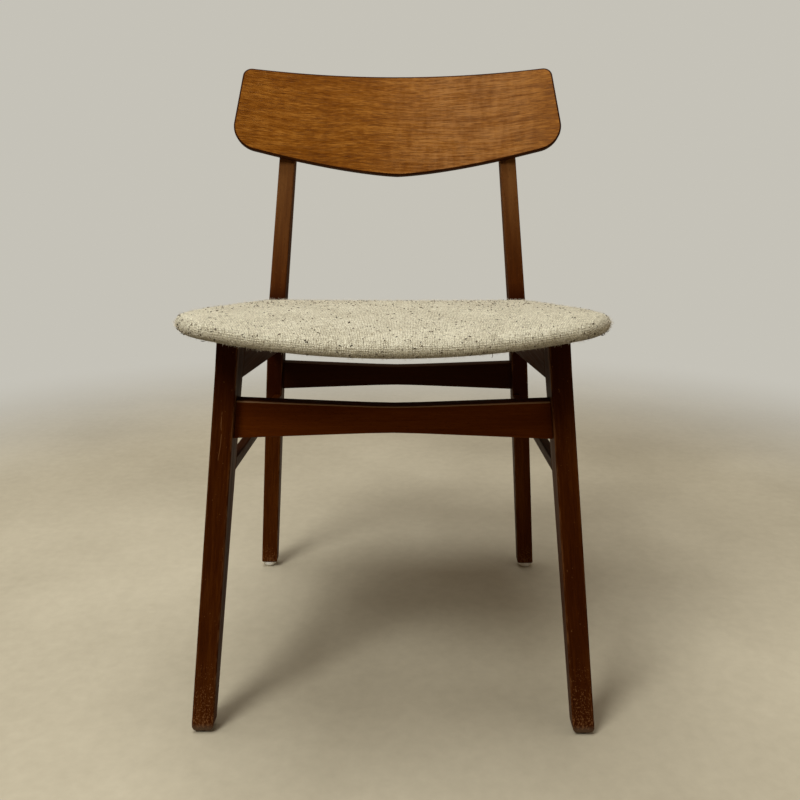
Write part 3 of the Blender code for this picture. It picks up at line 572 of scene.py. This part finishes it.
def backrest_outline():
    """The board's outline on the flat, anticlockwise from the middle of the lower edge."""
    lower = []
    for step in range(BOARD_LOWER_STEPS + 1):
        x = BOARD_LOWER_SHARE * BOARD_RISE_X * step / BOARD_LOWER_STEPS
        lower.append((x, BOARD_BOTTOM + BOARD_RISE * (x / BOARD_RISE_X) ** BOARD_RISE_POWER))
    top_corner = (BOARD_TOP_HALF, BOARD_TOP)
    low_arc = fillet(lower[-1], BOARD_CORNER, top_corner, BOARD_BOTTOM_RADIUS, BOARD_LOW_CORNER_STEPS)
    top_arc = fillet(BOARD_CORNER, top_corner, (0.0, BOARD_TOP), BOARD_TOP_RADIUS, BOARD_TOP_CORNER_STEPS)
    right = lower + low_arc + top_arc
    left = [(-x, up) for x, up in reversed(right[1:])]
    return np.array(right + left)


def backrest_plate(work):
    """The board on the flat, with rounded edges, in a bmesh."""
    outline = backrest_outline()
    rings = []
    for back in (True, False):
        for step in range(BOARD_ROUND_STEPS + 1):
            angle = 0.5 * math.pi * step / BOARD_ROUND_STEPS
            angle = angle if back else 0.5 * math.pi - angle
            depth = BOARD_EDGE_ROUND * (1 - math.cos(angle))
            level = depth if back else BOARD_THICK - depth
            ring = moved_inwards(outline, BOARD_EDGE_ROUND * (1 - math.sin(angle)))
            rings.append([work.verts.new((x, level, up)) for x, up in ring])
    for low, high in zip(rings, rings[1:]):
        for i in range(len(low)):
            j = (i + 1) % len(low)
            work.faces.new((low[i], low[j], high[j], high[i]))
    work.faces.new(rings[0])
    work.faces.new(rings[-1][::-1])
    bmesh.ops.recalc_face_normals(work, faces=work.faces)


def build_backrest(veneer, edge):
    """A fine copy of the backrest board: veneered faces and a dark stained edge, bent to its curve."""
    work = bmesh.new()
    backrest_plate(work)
    for strip in range(1, BOARD_STRIPS):
        x = BOARD_CORNER[0] * (2 * strip / BOARD_STRIPS - 1)
        everything = work.verts[:] + work.edges[:] + work.faces[:]
        bmesh.ops.bisect_plane(work, geom=everything, dist=1e-6, plane_co=(x, 0, 0), plane_no=(1, 0, 0))
    work.normal_update()
    for face in work.faces:
        face.material_index = 0 if abs(face.normal.y) > 0.999 else 1
        face.smooth = True
    grain = work.verts.layers.float_vector.new("grain_place")
    for vert in work.verts:
        x, level, up = vert.co
        vert[grain] = (x, up, level)
        vert.co = on_back_plane(x, up, board_curve(x) + level)
    mesh = bpy.data.meshes.new("curved_backrest")
    work.to_mesh(mesh)
    work.free()
    mesh.materials.append(veneer)
    mesh.materials.append(edge)
    piece = new_piece("curved_backrest", mesh)
    weighted = piece.modifiers.new("flat_flats", "WEIGHTED_NORMAL")
    weighted.weight = 100
    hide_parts("backrest_board")


# ---------- seat

def seat_under(points):
    """Height of the seat's underside at points of the plan, an array of (x, y)."""
    x, y = points[:, 0], points[:, 1]
    rolled = np.maximum(0.0, (SEAT_ROLL_START_Y - y) / SEAT_ROLL_LENGTH)
    slope = SEAT_SLOPE * (y - SEAT_REFERENCE_Y)
    return SEAT_UNDER_Z - slope + SEAT_DISH * (x / SEAT_DISH_X) ** 2 - SEAT_ROLL * rolled ** 2


def seat_outline():
    """The seat's widest outline in plan, from the middle of the front left corner, anticlockwise."""
    corners = ((-SEAT_HALF_FRONT, SEAT_FRONT_CHORD_Y), (SEAT_HALF_FRONT, SEAT_FRONT_CHORD_Y),
               (SEAT_HALF_REAR, SEAT_REAR_CHORD_Y), (-SEAT_HALF_REAR, SEAT_REAR_CHORD_Y))
    radii = (SEAT_FRONT_CORNER, SEAT_FRONT_CORNER, SEAT_REAR_CORNER, SEAT_REAR_CORNER)
    arcs = [fillet(corners[i - 1], corners[i], corners[(i + 1) % 4], radii[i], SEAT_CORNER_STEPS)
            for i in range(4)]
    half = SEAT_CORNER_STEPS // 2
    sides = []
    for i in range(4):
        side = arcs[i][half:] + arcs[(i + 1) % 4][:half + 1]
        sides.append(evenly_spaced(side, SEAT_ACROSS if i % 2 == 0 else SEAT_ALONG)[:-1])
    outline = np.concatenate(sides)
    forward = (SEAT_REAR_CHORD_Y - outline[:, 1]) / (SEAT_REAR_CHORD_Y - SEAT_FRONT_CHORD_Y)
    swell = 1 + SEAT_SIDE_BOW * 4 * forward * (1 - forward)
    bow = SEAT_FRONT_BOW * (1 - (outline[:, 0] / SEAT_HALF_FRONT) ** 2) * forward
    return np.stack((outline[:, 0] * swell, outline[:, 1] - bow), axis=1)


def lifted(plan, height):
    """Points of the plan, set a height above the seat's underside."""
    return np.column_stack((plan, seat_under(plan) + height))


def filled(ring):
    """The inner points of a grid that fills a ring, row by row from the front, as (x, y)."""
    front = ring[:SEAT_ACROSS + 1]
    right = ring[SEAT_ACROSS:SEAT_ACROSS + SEAT_ALONG + 1]
    rear = ring[SEAT_ACROSS + SEAT_ALONG:2 * SEAT_ACROSS + SEAT_ALONG + 1][::-1]
    left = np.concatenate((ring[2 * SEAT_ACROSS + SEAT_ALONG:], ring[:1]))[::-1]
    rows = []
    for j in range(1, SEAT_ALONG):
        v = j / SEAT_ALONG
        for i in range(1, SEAT_ACROSS):
            u = i / SEAT_ACROSS
            corners = ((1 - u) * (1 - v) * front[0] + u * (1 - v) * front[-1]
                       + (1 - u) * v * rear[0] + u * v * rear[-1])
            rows.append((1 - v) * front[i] + v * rear[i] + (1 - u) * left[j] + u * right[j] - corners)
    return np.array(rows)


def grid_faces(ring_start, grid_start):
    """Quads of a grid whose border is a ring and whose inner points follow grid_start."""
    count = 2 * (SEAT_ACROSS + SEAT_ALONG)

    def at(i, j):
        if j == 0:
            return ring_start + i
        if i == SEAT_ACROSS:
            return ring_start + SEAT_ACROSS + j
        if j == SEAT_ALONG:
            return ring_start + 2 * SEAT_ACROSS + SEAT_ALONG - i
        if i == 0:
            return ring_start + (count - j) % count
        return grid_start + (j - 1) * (SEAT_ACROSS - 1) + i - 1

    return [(at(i, j), at(i + 1, j), at(i + 1, j + 1), at(i, j + 1))
            for j in range(SEAT_ALONG) for i in range(SEAT_ACROSS)]


def crown_height(plan, rim):
    """Height of the crowned top above the underside, from how far out each point lies."""
    centre = np.array((0.0, SEAT_CENTRE_Y))
    out, border = plan - centre, rim - centre
    angle, border_angle = (np.arctan2(p[:, 1], p[:, 0]) for p in (out, border))
    order = np.argsort(border_angle)
    reach = np.interp(angle, border_angle[order], np.linalg.norm(border, axis=1)[order], period=2 * math.pi)
    share = np.minimum(1.0, np.linalg.norm(out, axis=1) / reach)
    return EDGE_LOWER + EDGE_UPPER + CROWN * (1 - share ** 2) * (1 - CROWN_FALL * share)


def seat_shape():
    """The cushion with a pocket for its board, a little slack before it swells.

    Returns its points, faces, the place of each point on the flat cloth, and which points are held.
    """
    outline = seat_outline()
    count = len(outline)
    rows = [(BOARD_POCKET, BOARD_POCKET_TOP), (BOARD_POCKET, COVER_THICKNESS + COVER_GAP),
            (COVER_LIP, COVER_THICKNESS), (COVER_LIP, 0.0)]
    held_rows = len(rows) + 2
    for step in range(WRAP_STEPS + 1):
        angle = 0.5 * math.pi * step / WRAP_STEPS
        inset = EDGE_SLACK * math.sin(angle) ** 2 + EDGE_WRAP * (1 - math.sin(angle))
        rows.append((inset, EDGE_LOWER * (1 - math.cos(angle))))
    for step in range(1, EDGE_STEPS + 1):
        angle = 0.5 * math.pi * step / EDGE_STEPS
        inset = EDGE_SLACK + EDGE_ROUND * (1 - math.cos(angle))
        rows.append((inset, EDGE_LOWER + (EDGE_UPPER - SEAT_SLACK) * math.sin(angle)))
    rings = [lifted(moved_inwards(outline, inset), height) for inset, height in rows]
    rim = moved_inwards(outline, rows[-1][0])
    inner = filled(rim)
    top = lifted(inner, crown_height(inner, rim) - SEAT_SLACK)
    ceiling = lifted(filled(moved_inwards(outline, BOARD_POCKET)), BOARD_POCKET_TOP)
    points = np.concatenate(rings + [top, ceiling])
    faces = []
    for row in range(len(rings) - 1):
        faces += ring_faces(row * count, (row + 1) * count, count)
    faces += grid_faces((len(rings) - 1) * count, len(rings) * count)
    faces += grid_faces(0, len(rings) * count + len(top))
    flat = cloth_places(rings, top, ceiling)
    held = list(range(held_rows * count)) + list(range(len(points) - len(ceiling), len(points)))
    points[:, 1] += CHAIR_BACK
    return points, faces, flat, held


def cloth_places(rings, top, ceiling):
    """Where each point lies on the cloth spread flat: the top's plan, then down over the edge."""
    rim = rings[-1][:, :2]
    outwards = rim - moved_inwards(rim, 1.0)
    flat = [rim]
    drop = np.zeros(len(rim))
    for upper, lower in zip(rings[::-1], rings[-2::-1]):
        drop = drop + np.linalg.norm(upper - lower, axis=1)
        flat.append(rim + outwards * drop[:, None])
    return np.concatenate(flat[::-1] + [top[:, :2], ceiling[:, :2]])


def swell(cushion, held):
    """Let air pressure stretch the cloth over its filling, with the cloth under the board held."""
    group = cushion.vertex_groups.new(name="held")
    group.add(held, 1.0, "REPLACE")
    cloth = cushion.modifiers.new("cloth", "CLOTH")
    settings = cloth.settings
    settings.quality = 6
    settings.mass = 0.3
    settings.tension_stiffness = 40.0
    settings.compression_stiffness = 40.0
    settings.shear_stiffness = 20.0
    settings.bending_stiffness = 4.0
    settings.vertex_group_mass = group.name
    settings.use_pressure = True
    settings.uniform_pressure_force = SWELL_PRESSURE
    settings.effector_weights.gravity = 0.0
    cloth.collision_settings.use_collision = False
    scene = bpy.context.scene
    for number in range(1, SWELL_FRAMES + 1):
        scene.frame_set(number)
    evaluated = cushion.evaluated_get(bpy.context.evaluated_depsgraph_get())
    swollen = np.array([v.co for v in evaluated.data.vertices])
    cushion.modifiers.remove(cloth)
    scene.frame_set(1)
    start = np.array([v.co for v in cushion.data.vertices])
    move = swollen - start
    length = np.linalg.norm(move, axis=1)
    move *= (np.minimum(length, SWELL_LIMIT) / np.maximum(length, 1e-9))[:, None]
    cushion.data.vertices.foreach_set("co", (start + move).astype(np.float32).ravel())
    cushion.data.update()


def build_cushion(material):
    points, faces, flat, held = seat_shape()
    mesh = mesh_from("seat_cushion", points, faces)
    place = mesh.attributes.new("cloth_place", "FLOAT_VECTOR", "POINT")
    flat = np.column_stack((flat, np.zeros(len(flat))))
    place.data.foreach_set("vector", flat.astype(np.float32).ravel())
    mesh.materials.append(material)
    cushion = new_piece("seat_cushion", mesh)
    swell(cushion, held)
    finer = cushion.modifiers.new("finer", "SUBSURF")
    finer.levels = 1
    finer.render_levels = 1
    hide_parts("seat_cover", "seat_foam")
    return cushion


def build_seat():
    cushion = build_cushion(wool_cloth())
    pale_wool = strand_cloth("pale_fibres", FIBRE_DARK, FIBRE_LIGHT)
    dark_wool = strand_cloth("dark_wool", NUB_DARK, NUB_LIGHT)
    scatter("cloth_fuzz", cushion, pale_wool, fibre, fuzz_chance, FUZZ_COUNT, 11)
    scatter("dark_nubs", cushion, dark_wool, nub, nub_chance, NUB_COUNT, 23)
    scatter("thread_ends", cushion, dark_wool, thread_end, thread_chance, THREAD_COUNT, 5)


# ---------- loose fibres on the seat

def outer_faces(cushion):
    """The faces of the cloth that can be seen: all but the pocket for the board and its ceiling."""
    faces = cushion.data.polygons
    return faces[POCKET_ROWS * 2 * (SEAT_ACROSS + SEAT_ALONG):len(faces) - SEAT_ACROSS * SEAT_ALONG]


def places_on_cloth(cushion, draw, count, weigh):
    """Random points of the cloth with their outward directions; weigh gives a face's chance per area."""
    faces = outer_faces(cushion)
    chances = [face.area * weigh(face.normal) for face in faces]
    points = cushion.data.vertices
    for face in draw.choices(faces, chances, k=count):
        a, b, c, d = (points[i].co for i in face.vertices)
        u, v = draw.random(), draw.random()
        yield a.lerp(b, u).lerp(d.lerp(c, u), v), face.normal.copy()


def random_direction(draw):
    return Vector((draw.gauss(0, 1), draw.gauss(0, 1), draw.gauss(0, 1))).normalized()


def along_cloth(draw, normal):
    """A random direction in the plane of the cloth."""
    return normal.cross(random_direction(draw)).normalized()


def fuzz_chance(normal):
    """Loose fibres stand thickest on the rounded edge."""
    return 1 + FUZZ_EDGE * (1 - abs(normal.z)) ** 2


def nub_chance(normal):
    """Slubs show most on the rounded edge, and hardly any are left on the cloth under the board."""
    if normal.z > 0.8:
        return 0.5
    return 1.0 if normal.z > -0.9 else 0.1


def thread_chance(normal):
    """Thread ends hang out only along the lower edge."""
    return 1.0 if -0.9 < normal.z < -0.35 else 0.0


def fibre(draw, root, normal):
    """A short pale fibre that stands off the wool and blurs its outline."""
    length = draw.uniform(*FUZZ_LENGTH)
    rise = (normal * draw.uniform(0.35, 1.0) + random_direction(draw) * 0.7).normalized()
    turned = (rise + random_direction(draw) * 0.8).normalized()
    start = root - normal * FUZZ_ROOT
    middle = start + rise * (0.5 * length + FUZZ_ROOT)
    points = [start, middle, middle + turned * 0.5 * length]
    return strand(points, (FUZZ_RADIUS, FUZZ_RADIUS, 0.5 * FUZZ_RADIUS), 3)


def nub(draw, place, normal):
    """A small dark slub of wool caught in the weave."""
    length = draw.uniform(*NUB_LENGTH)
    radius = draw.uniform(*NUB_RADIUS)
    root = place + normal * radius * NUB_PROUD
    run = along_cloth(draw, normal) * length
    bend = along_cloth(draw, normal) * length * NUB_BEND
    points = [root - run / 2, root - run / 6 + bend, root + run / 6 + bend, root + run / 2]
    return strand(points, (0.3 * radius, radius, 0.8 * radius, 0.3 * radius), 6)


def thread_end(draw, root, normal):
    """A loose thread end that curls out from under the seat's edge."""
    length = draw.uniform(*THREAD_LENGTH)
    ahead = (normal + along_cloth(draw, normal) * 0.8).normalized()
    sideways = ahead.cross(random_direction(draw)).normalized()
    curl = draw.uniform(*THREAD_CURL)
    points = [root - normal * THREAD_ROOT]
    for step in range(THREAD_STEPS):
        angle = curl * 2 * step / THREAD_STEPS
        heading = ahead * math.cos(angle) + sideways * math.sin(angle)
        points.append(points[-1] + heading * length / THREAD_STEPS)
    return strand(points, [THREAD_RADIUS] * THREAD_STEPS + [0.5 * THREAD_RADIUS], 6)


def scatter(name, cushion, material, make_strand, chance, count, seed):
    """A piece made of many small strands, spread over the cloth."""
    draw = random.Random(seed)
    points, faces = [], []
    for place, normal in places_on_cloth(cushion, draw, count, chance):
        start = len(points)
        strand_points, strand_faces = make_strand(draw, place, normal)
        points += strand_points
        faces += [tuple(i + start for i in face) for face in strand_faces]
    mesh = mesh_from(name, points, faces)
    mesh.materials.append(material)
    new_piece(name, mesh)


# ---------- wood

def leg_place(build, leg):
    """A leg's own coordinates: across its width, across its depth, and up."""
    x, y, z = build.parts(build.place())
    across = build.math("ADD", build.math("ABSOLUTE", x), build.times(z, leg.splay))
    across = build.math("SUBTRACT", across, leg.floor_x)
    above = build.math("MAXIMUM", build.math("SUBTRACT", z, KNEE_Z), 0.0)
    lean = build.blend((z, leg.rake), (above, leg.knee_rake))
    depth = build.math("SUBTRACT", build.math("SUBTRACT", y, leg.floor_y + CHAIR_BACK), lean)
    return build.joined(across, depth, z)


def bar_place(build, sideways):
    """Coordinates with a bar's length last, for one that runs from side to side or from front to back."""
    x, y, z = build.parts(build.place())
    return build.joined(y, z, x) if sideways else build.joined(x, z, y)


def shifted_per_piece(build, place):
    """Move a pattern by a different amount on each piece, so that no two pieces share their grain."""
    random_value = build.add("ShaderNodeObjectInfo").outputs["Random"]
    return build.moved(place, build.times(random_value, GRAIN_SHIFT))


def worn_arrises(build, place, leg):
    """A mask of the long corners of a leg, worn in patches."""
    across, depth, _ = build.parts(place)
    near_side = build.stretch(build.math("ABSOLUTE", across), leg.half_width - ARRIS_RUB, leg.half_width)
    near_face = build.stretch(build.math("ABSOLUTE", depth), leg.half_depth - ARRIS_RUB, leg.half_depth)
    patches = build.stretch(build.grain(place, (240, 240, 26), 5.0, 0.7), 0.47, 0.58)
    return build.times(near_side, near_face, patches)


def worn_foot(build, place, leg):
    """A mask of small scuffs that get thicker towards the floor."""
    low = build.stretch(build.parts(place)[2], leg.foot_wear, 0.0)
    scuffs = build.grain(place, (640, 640, 420), 3.0, 0.65)
    cut = build.math("SUBTRACT", scuffs, build.times(build.math("SUBTRACT", 1.0, low), 0.22))
    return build.stretch(cut, 0.51, 0.59)


def long_scratches(build, place):
    """A mask of a few long thin scratches and small knocks."""
    lines = build.grain(place, (620, 620, 14), 1.0)
    gaps = build.grain(place, (40, 40, 19))
    scratches = build.times(build.stretch(lines, 0.735, 0.765), build.stretch(gaps, 0.52, 0.60))
    knocks = build.stretch(build.grain(place, (520, 520, 330), 1.0), 0.745, 0.775)
    return build.math("MAXIMUM", scratches, knocks)


def long_rub(build, place):
    """A mask of one thin rubbed line down the front of the left leg."""
    across, depth, height = build.parts(place)
    sway = build.grain(place, (25, 25, 40), 1.0)
    offset = build.math("SUBTRACT", across, build.stretch(sway, 0.3, 0.7, 0.0, 2 * RUB_ACROSS))
    line = build.stretch(build.math("ABSOLUTE", offset), RUB_WIDTH, 0.3 * RUB_WIDTH)
    above = build.stretch(height, RUB_LOW - RUB_FADE, RUB_LOW)
    below = build.stretch(height, RUB_HIGH + RUB_FADE, RUB_HIGH)
    left = build.math("LESS_THAN", build.parts(build.place())[0], 0.0)
    broken = build.stretch(build.grain(place, (90, 90, 120)), 0.38, 0.50)
    front = build.math("LESS_THAN", depth, 0.0)
    return build.times(line, above, below, left, front, broken)


def highlit_top_edge(build):
    """A mask of the narrow face that rounds a bar's upper front edge, where a highlight is painted."""
    _, y, z = build.facing()
    return build.stretch(build.times(y, z, -1.0), 0.28, 0.38)


def leg_tones(build, place, leg, broad, colour):
    """A leg's stain: browner and paler up the post, partly its own tone and partly a painted sheen, and
    darkest close under the seat, where painted shade darkens it.
    """
    height = build.parts(place)[2]
    # Up the post the stain turns browner and paler: partly the wood's own tone, partly a painted sheen
    # where the leaning post catches the light.
    post_tone_and_sheen = build.times(build.stretch(height, *POST_TONE), build.stretch(broad, 0.36, 0.62, 0.45, 1.0))
    colour = build.tint(colour, POST_BROWN_AND_SHEEN, post_tone_and_sheen, 0.85)
    # Close under the seat the stain is darkened: painted shade from the seat.
    painted_seat_shade = build.times(build.stretch(height, leg.shelter, leg.shelter + SHELTER_RISE),
                            build.stretch(height, *SHELTER_TOP[::-1]))
    return build.tint(colour, STAIN_DARK, painted_seat_shade, leg.shade)


def leg_wear(build, place, moved, leg, colour):
    """Worn corners, a scuffed and dusty foot, long scratches and, on a front leg, one rubbed line."""
    worn = build.times(worn_arrises(build, place, leg), 0.60)
    marks = [(worn_foot(build, place, leg), 0.80), (long_scratches(build, moved), 0.60)]
    if leg is FRONT_LEG:
        marks.append((long_rub(build, place), 0.75))
    for mask, strength in marks:
        worn = build.math("MAXIMUM", worn, build.times(mask, strength))
    colour = build.tint(colour, WORN_BEECH, worn)
    dusty = build.stretch(build.parts(place)[2], 0.09 * leg.foot_wear, 0.03 * leg.foot_wear, 0.0, 0.7)
    return build.tint(colour, FOOT_DUST, dusty)


def stained_wood(name, brightness, spread=0.18, leg=None, sideways=False, rubbed=False):
    """Dark stained and lacquered beech: reddish brown with fine darker and lighter streaks."""
    build = Nodes(name)
    place = leg_place(build, leg) if leg else bar_place(build, sideways)
    moved = shifted_per_piece(build, place)
    broad = build.grain(moved, (44, 44, 3.0), 3.0, 0.55)
    streaks = build.grain(moved, (420, 420, 11), 3.0, 0.6)
    fine = build.grain(moved, (1200, 1200, 60))
    tone = build.blend((broad, 0.48), (streaks, 0.32), (fine, 0.20))
    stops = ((0.50 - spread, STAIN_DARK), (0.50, STAIN_MIDDLE), (0.50 + spread, STAIN_LIGHT))
    colour = build.ramp(tone, [(at, [c * brightness for c in tint]) for at, tint in stops])
    if leg:
        colour = leg_tones(build, place, leg, broad, colour)
    pores = build.stretch(build.grain(moved, (1500, 1500, 190), 1.0), 0.64, 0.72)
    colour = build.tint(colour, STAIN_DARK, pores, 0.55)
    if leg:
        colour = leg_wear(build, place, moved, leg, colour)
    # rubbed: the bar's rounded upper front edge is made paler, a painted highlight.
    if rubbed:
        colour = build.tint(colour, EDGE_HIGHLIGHT, highlit_top_edge(build), 0.8)
    build.paint(colour)
    build.roughen(streaks, 0.42, 0.58)
    height = build.blend((streaks, 0.5), (fine, 0.3), (broad, 0.8))
    build.bump(height, 0.00012)
    return build.finish(Specular_IOR_Level=0.06, Specular_Tint=(1.0, 0.62, 0.36, 1.0))


def veneer_wood():
    """Oiled veneer: orange-brown with short fine straight grain, soft bands and a faint cross figure."""
    build = Nodes("teak_veneer")
    flat = build.attribute("grain_place")
    along, up, level = build.parts(flat)
    sway = build.grain(flat, (4.0, 4.0, 1.0), 1.0)
    place = build.joined(along, build.blend((up, 1.0), (sway, 0.030)), level)
    bands = build.grain(place, (2.4, 34, 20), 4.0, 0.60)
    streaks = build.grain(place, (20, 330, 200), 4.0, 0.68)
    dashes = build.grain(place, (75, 780, 600), 3.0, 0.65)
    figure = build.grain(place, (95, 26, 10), 3.0, 0.55)
    cloudy = build.grain(place, (13, 20, 10))
    tone = build.blend((bands, 0.20), (streaks, 0.26), (dashes, 0.36), (figure, 0.06), (cloudy, 0.12))
    colour = build.ramp(tone, ((0.41, VENEER_DARK), (0.50, VENEER_MIDDLE), (0.59, VENEER_LIGHT)))
    # A paler patch right of the board's middle is a painted sheen that flickers with the figure and
    # streaks.
    shimmer = build.stretch(build.blend((figure, 0.3), (streaks, 0.7)), 0.34, 0.66)
    patch = build.times(build.stretch(along, *LUSTRE_LEFT), build.stretch(along, *LUSTRE_RIGHT))
    colour = build.tint(colour, VENEER_SHEEN, build.times(patch, shimmer), 0.50)
    pores = build.stretch(build.grain(place, (60, 1100, 700), 1.0), 0.57, 0.68)
    colour = build.tint(colour, VENEER_PORE, pores, 0.50)
    build.paint(colour)
    build.roughen(streaks, 0.40, 0.52)
    build.bump(build.blend((streaks, 0.5), (pores, -1.0)), 0.00008)
    return build.finish(Specular_IOR_Level=0.14, Specular_Tint=(1.0, 0.70, 0.42, 1.0))


def edge_wood():
    """The board's dark stained edge, with the thin lines of its layers."""
    build = Nodes("teak_edge")
    flat = build.attribute("grain_place")
    layers = build.grain(flat, (20, 20, 900))
    worn = build.grain(flat, (60, 60, 200), 4.0, 0.6)
    tone = build.blend((layers, 0.5), (worn, 0.5))
    build.paint(build.ramp(tone, ((0.35, (0.018, 0.0040, 0.0008)), (0.68, (0.060, 0.018, 0.004)))))
    build.roughen(worn, 0.42, 0.60)
    build.bump(tone, 0.0001)
    return build.finish(Specular_IOR_Level=0.05, Specular_Tint=(1.0, 0.62, 0.36, 1.0))


def raw_wood(name, dark, light, scale):
    """Bare wood that shows only inside the joints or under the seat."""
    build = Nodes(name)
    place = build.place()
    grain = build.grain(place, scale, 4.0, 0.6)
    broad = build.noise(place, 18.0)
    tone = build.blend((grain, 0.7), (broad, 0.3))
    build.paint(build.ramp(tone, ((0.35, dark), (0.65, light))))
    build.bump(grain, 0.0001)
    return build.finish(Roughness=0.72)


# ---------- cloth

def wool_cloth():
    """Oatmeal wool in a coarse plain weave: lumpy yarns, heathered tones and dark flecks."""
    build = Nodes("wool_cloth")
    flat = build.attribute("cloth_place")
    x, y, _ = build.parts(build.wandering(flat, 210.0, YARN_WANDER))
    crossing = build.weave(x, y, YARN_PITCH)
    weft_on_top = build.stretch(crossing, -0.12, 0.12)
    hump = build.math("ABSOLUTE", crossing)
    warp_tone = build.grain(flat, (590, 110, 1), 2.0, 0.6)
    weft_tone = build.grain(flat, (110, 590, 1), 2.0, 0.6)
    warp_on_top = build.math("SUBTRACT", 1.0, weft_on_top)
    warp, weft = build.times(warp_tone, warp_on_top), build.times(weft_tone, weft_on_top)
    yarn_tone = build.math("ADD", warp, weft)
    lumps = build.noise(flat, 720.0, 3.0, 0.65)
    cloudy = build.noise(flat, 22.0, 4.0, 0.6)
    # The yarns' humps also lighten the tone, so the gaps between yarns carry painted shade.
    tone = build.blend((yarn_tone, 0.44), (lumps, 0.27), (hump, 0.16), (cloudy, 0.13))
    colour = build.ramp(tone, ((0.39, WOOL_DARK), (0.475, WOOL_MIDDLE), (0.57, WOOL_LIGHT)))
    for fleck in FLECKS:
        colour = build.tint(colour, fleck.colour, flecks_mask(build, flat, fleck), 0.85)
    # Faces that turn downwards are darkened: painted shade on the cushion's underside.
    painted_underside_shade = build.stretch(build.facing()[2], 0.0, -0.8)
    colour = build.tint(colour, WOOL_UNDERSIDE_SHADE, painted_underside_shade, 0.65)
    build.paint(colour)
    build.bump(build.blend((hump, 0.60), (lumps, 0.70), (yarn_tone, 0.45)), 0.0013)
    return build.finish(Roughness=0.95, Specular_IOR_Level=0.10, Sheen_Weight=0.20, Sheen_Roughness=0.6,
                        Sheen_Tint=(1.0, 0.96, 0.88, 1.0))


def flecks_mask(build, flat, fleck):
    """A mask of scattered flecks of one kind."""
    place = build.mapped(build.wandering(flat, 0.8 / fleck.low, 1.6 * fleck.low), (1.0, 0.75, 1.0))
    cells = build.put(build.add("ShaderNodeTexVoronoi"), Vector=place, Scale=1.0 / fleck.cell)
    pick = build.put(build.add("ShaderNodeSeparateColor"), Color=cells.outputs["Color"])
    chosen = build.math("LESS_THAN", pick.outputs[0], fleck.share)
    reach = build.stretch(pick.outputs[1], 0.0, 1.0, fleck.low / fleck.cell, fleck.high / fleck.cell)
    inside = build.math("SUBTRACT", reach, cells.outputs["Distance"])
    soft = build.stretch(inside, 0.0, 0.35 * fleck.low / fleck.cell)
    return build.times(chosen, soft)


def strand_cloth(name, dark, light):
    """Loose fibres and threads, their tone changing from one to the next."""
    build = Nodes(name)
    tone = build.noise(build.place(), 260.0)
    build.paint(build.ramp(tone, ((0.35, dark), (0.65, light))))
    return build.finish(Roughness=0.95, Specular_IOR_Level=0.1)


def lining_cloth():
    build = Nodes("lining_cloth")
    place = build.place()
    x, y, _ = build.parts(place)
    dust = build.noise(place, 30.0, 4.0, 0.6)
    build.paint(build.ramp(dust, ((0.35, (0.018, 0.016, 0.015)), (0.7, (0.055, 0.05, 0.045)))))
    build.bump(build.weave(x, y, LINING_PITCH), 0.0001)
    return build.finish(Roughness=0.9)


# ---------- metal and plastic

def zinc_steel():
    build = Nodes("zinc_steel")
    place = build.place()
    spangle = build.noise(place, 500.0, 3.0)
    build.paint(build.ramp(spangle, ((0.35, (0.36, 0.35, 0.32)), (0.65, (0.60, 0.59, 0.56)))))
    build.roughen(spangle, 0.28, 0.46)
    return build.finish(Metallic=1.0)


def glide_plastic(name, dark, light):
    """A plastic glide, scuffed where it meets the floor."""
    build = Nodes(name)
    place = build.place()
    low = build.stretch(build.parts(place)[2], 0.0035, 0.0)
    scuffs = build.noise(place, 480.0, 4.0, 0.65)
    worn = build.times(low, build.stretch(scuffs, 0.42, 0.60))
    colour = build.ramp(build.noise(place, 90.0), ((0.35, dark), (0.65, light)))
    build.paint(build.tint(colour, GLIDE_DIRT, worn, 0.6))
    build.roughen(scuffs, 0.35, 0.6)
    build.bump(scuffs, 0.0001)
    return build.finish()


def node_materials():
    """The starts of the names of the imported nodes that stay, each with its material."""
    rear_legs = stained_wood("stained_beech_rear_legs", 1.2, leg=REAR_LEG)
    # The front stretcher's stain is twice as bright: painted light where the seat's shadow falls on it.
    front_bar_painted_light = stained_wood("stained_beech_front_bar", 2.0, spread=0.34, sideways=True, rubbed=True)
    # The rear rail's stain is darkened to under half: painted shade under the seat.
    rear_bar_painted_shade = stained_wood("stained_beech_rear_bar", 0.45, spread=0.30, sideways=True)
    dowel = raw_wood("plain_beech", (0.42, 0.25, 0.12), (0.62, 0.42, 0.23), (260, 260, 260))
    steel = zinc_steel()
    return (("front_leg", stained_wood("stained_beech_front_legs", 1.05, leg=FRONT_LEG)),
            ("rear_leg", rear_legs), ("backrest_plug", rear_legs),
            ("side_", stained_wood("stained_beech_side_bars", 0.9)),
            ("front_stretcher", front_bar_painted_light), ("rear_rail", rear_bar_painted_shade),
            ("dowel", dowel), ("backrest_screw", steel), ("seat_screw", steel),
            ("seat_board", raw_wood("plywood", (0.34, 0.20, 0.09), (0.55, 0.37, 0.19), (12, 420, 420))),
            ("seat_lining", lining_cloth()),
            ("glide_front", glide_plastic("dark_glide", (0.035, 0.026, 0.020), (0.075, 0.058, 0.045))),
            ("glide_rear", glide_plastic("pale_glide", (0.62, 0.60, 0.55), (0.80, 0.79, 0.75))))


# ---------- the scene

add_camera()
add_lights()
add_room()
add_floor()
bpy.context.scene.view_settings.view_transform = "Standard"
dress_nodes(node_materials())
build_backrest(veneer_wood(), edge_wood())
build_seat()
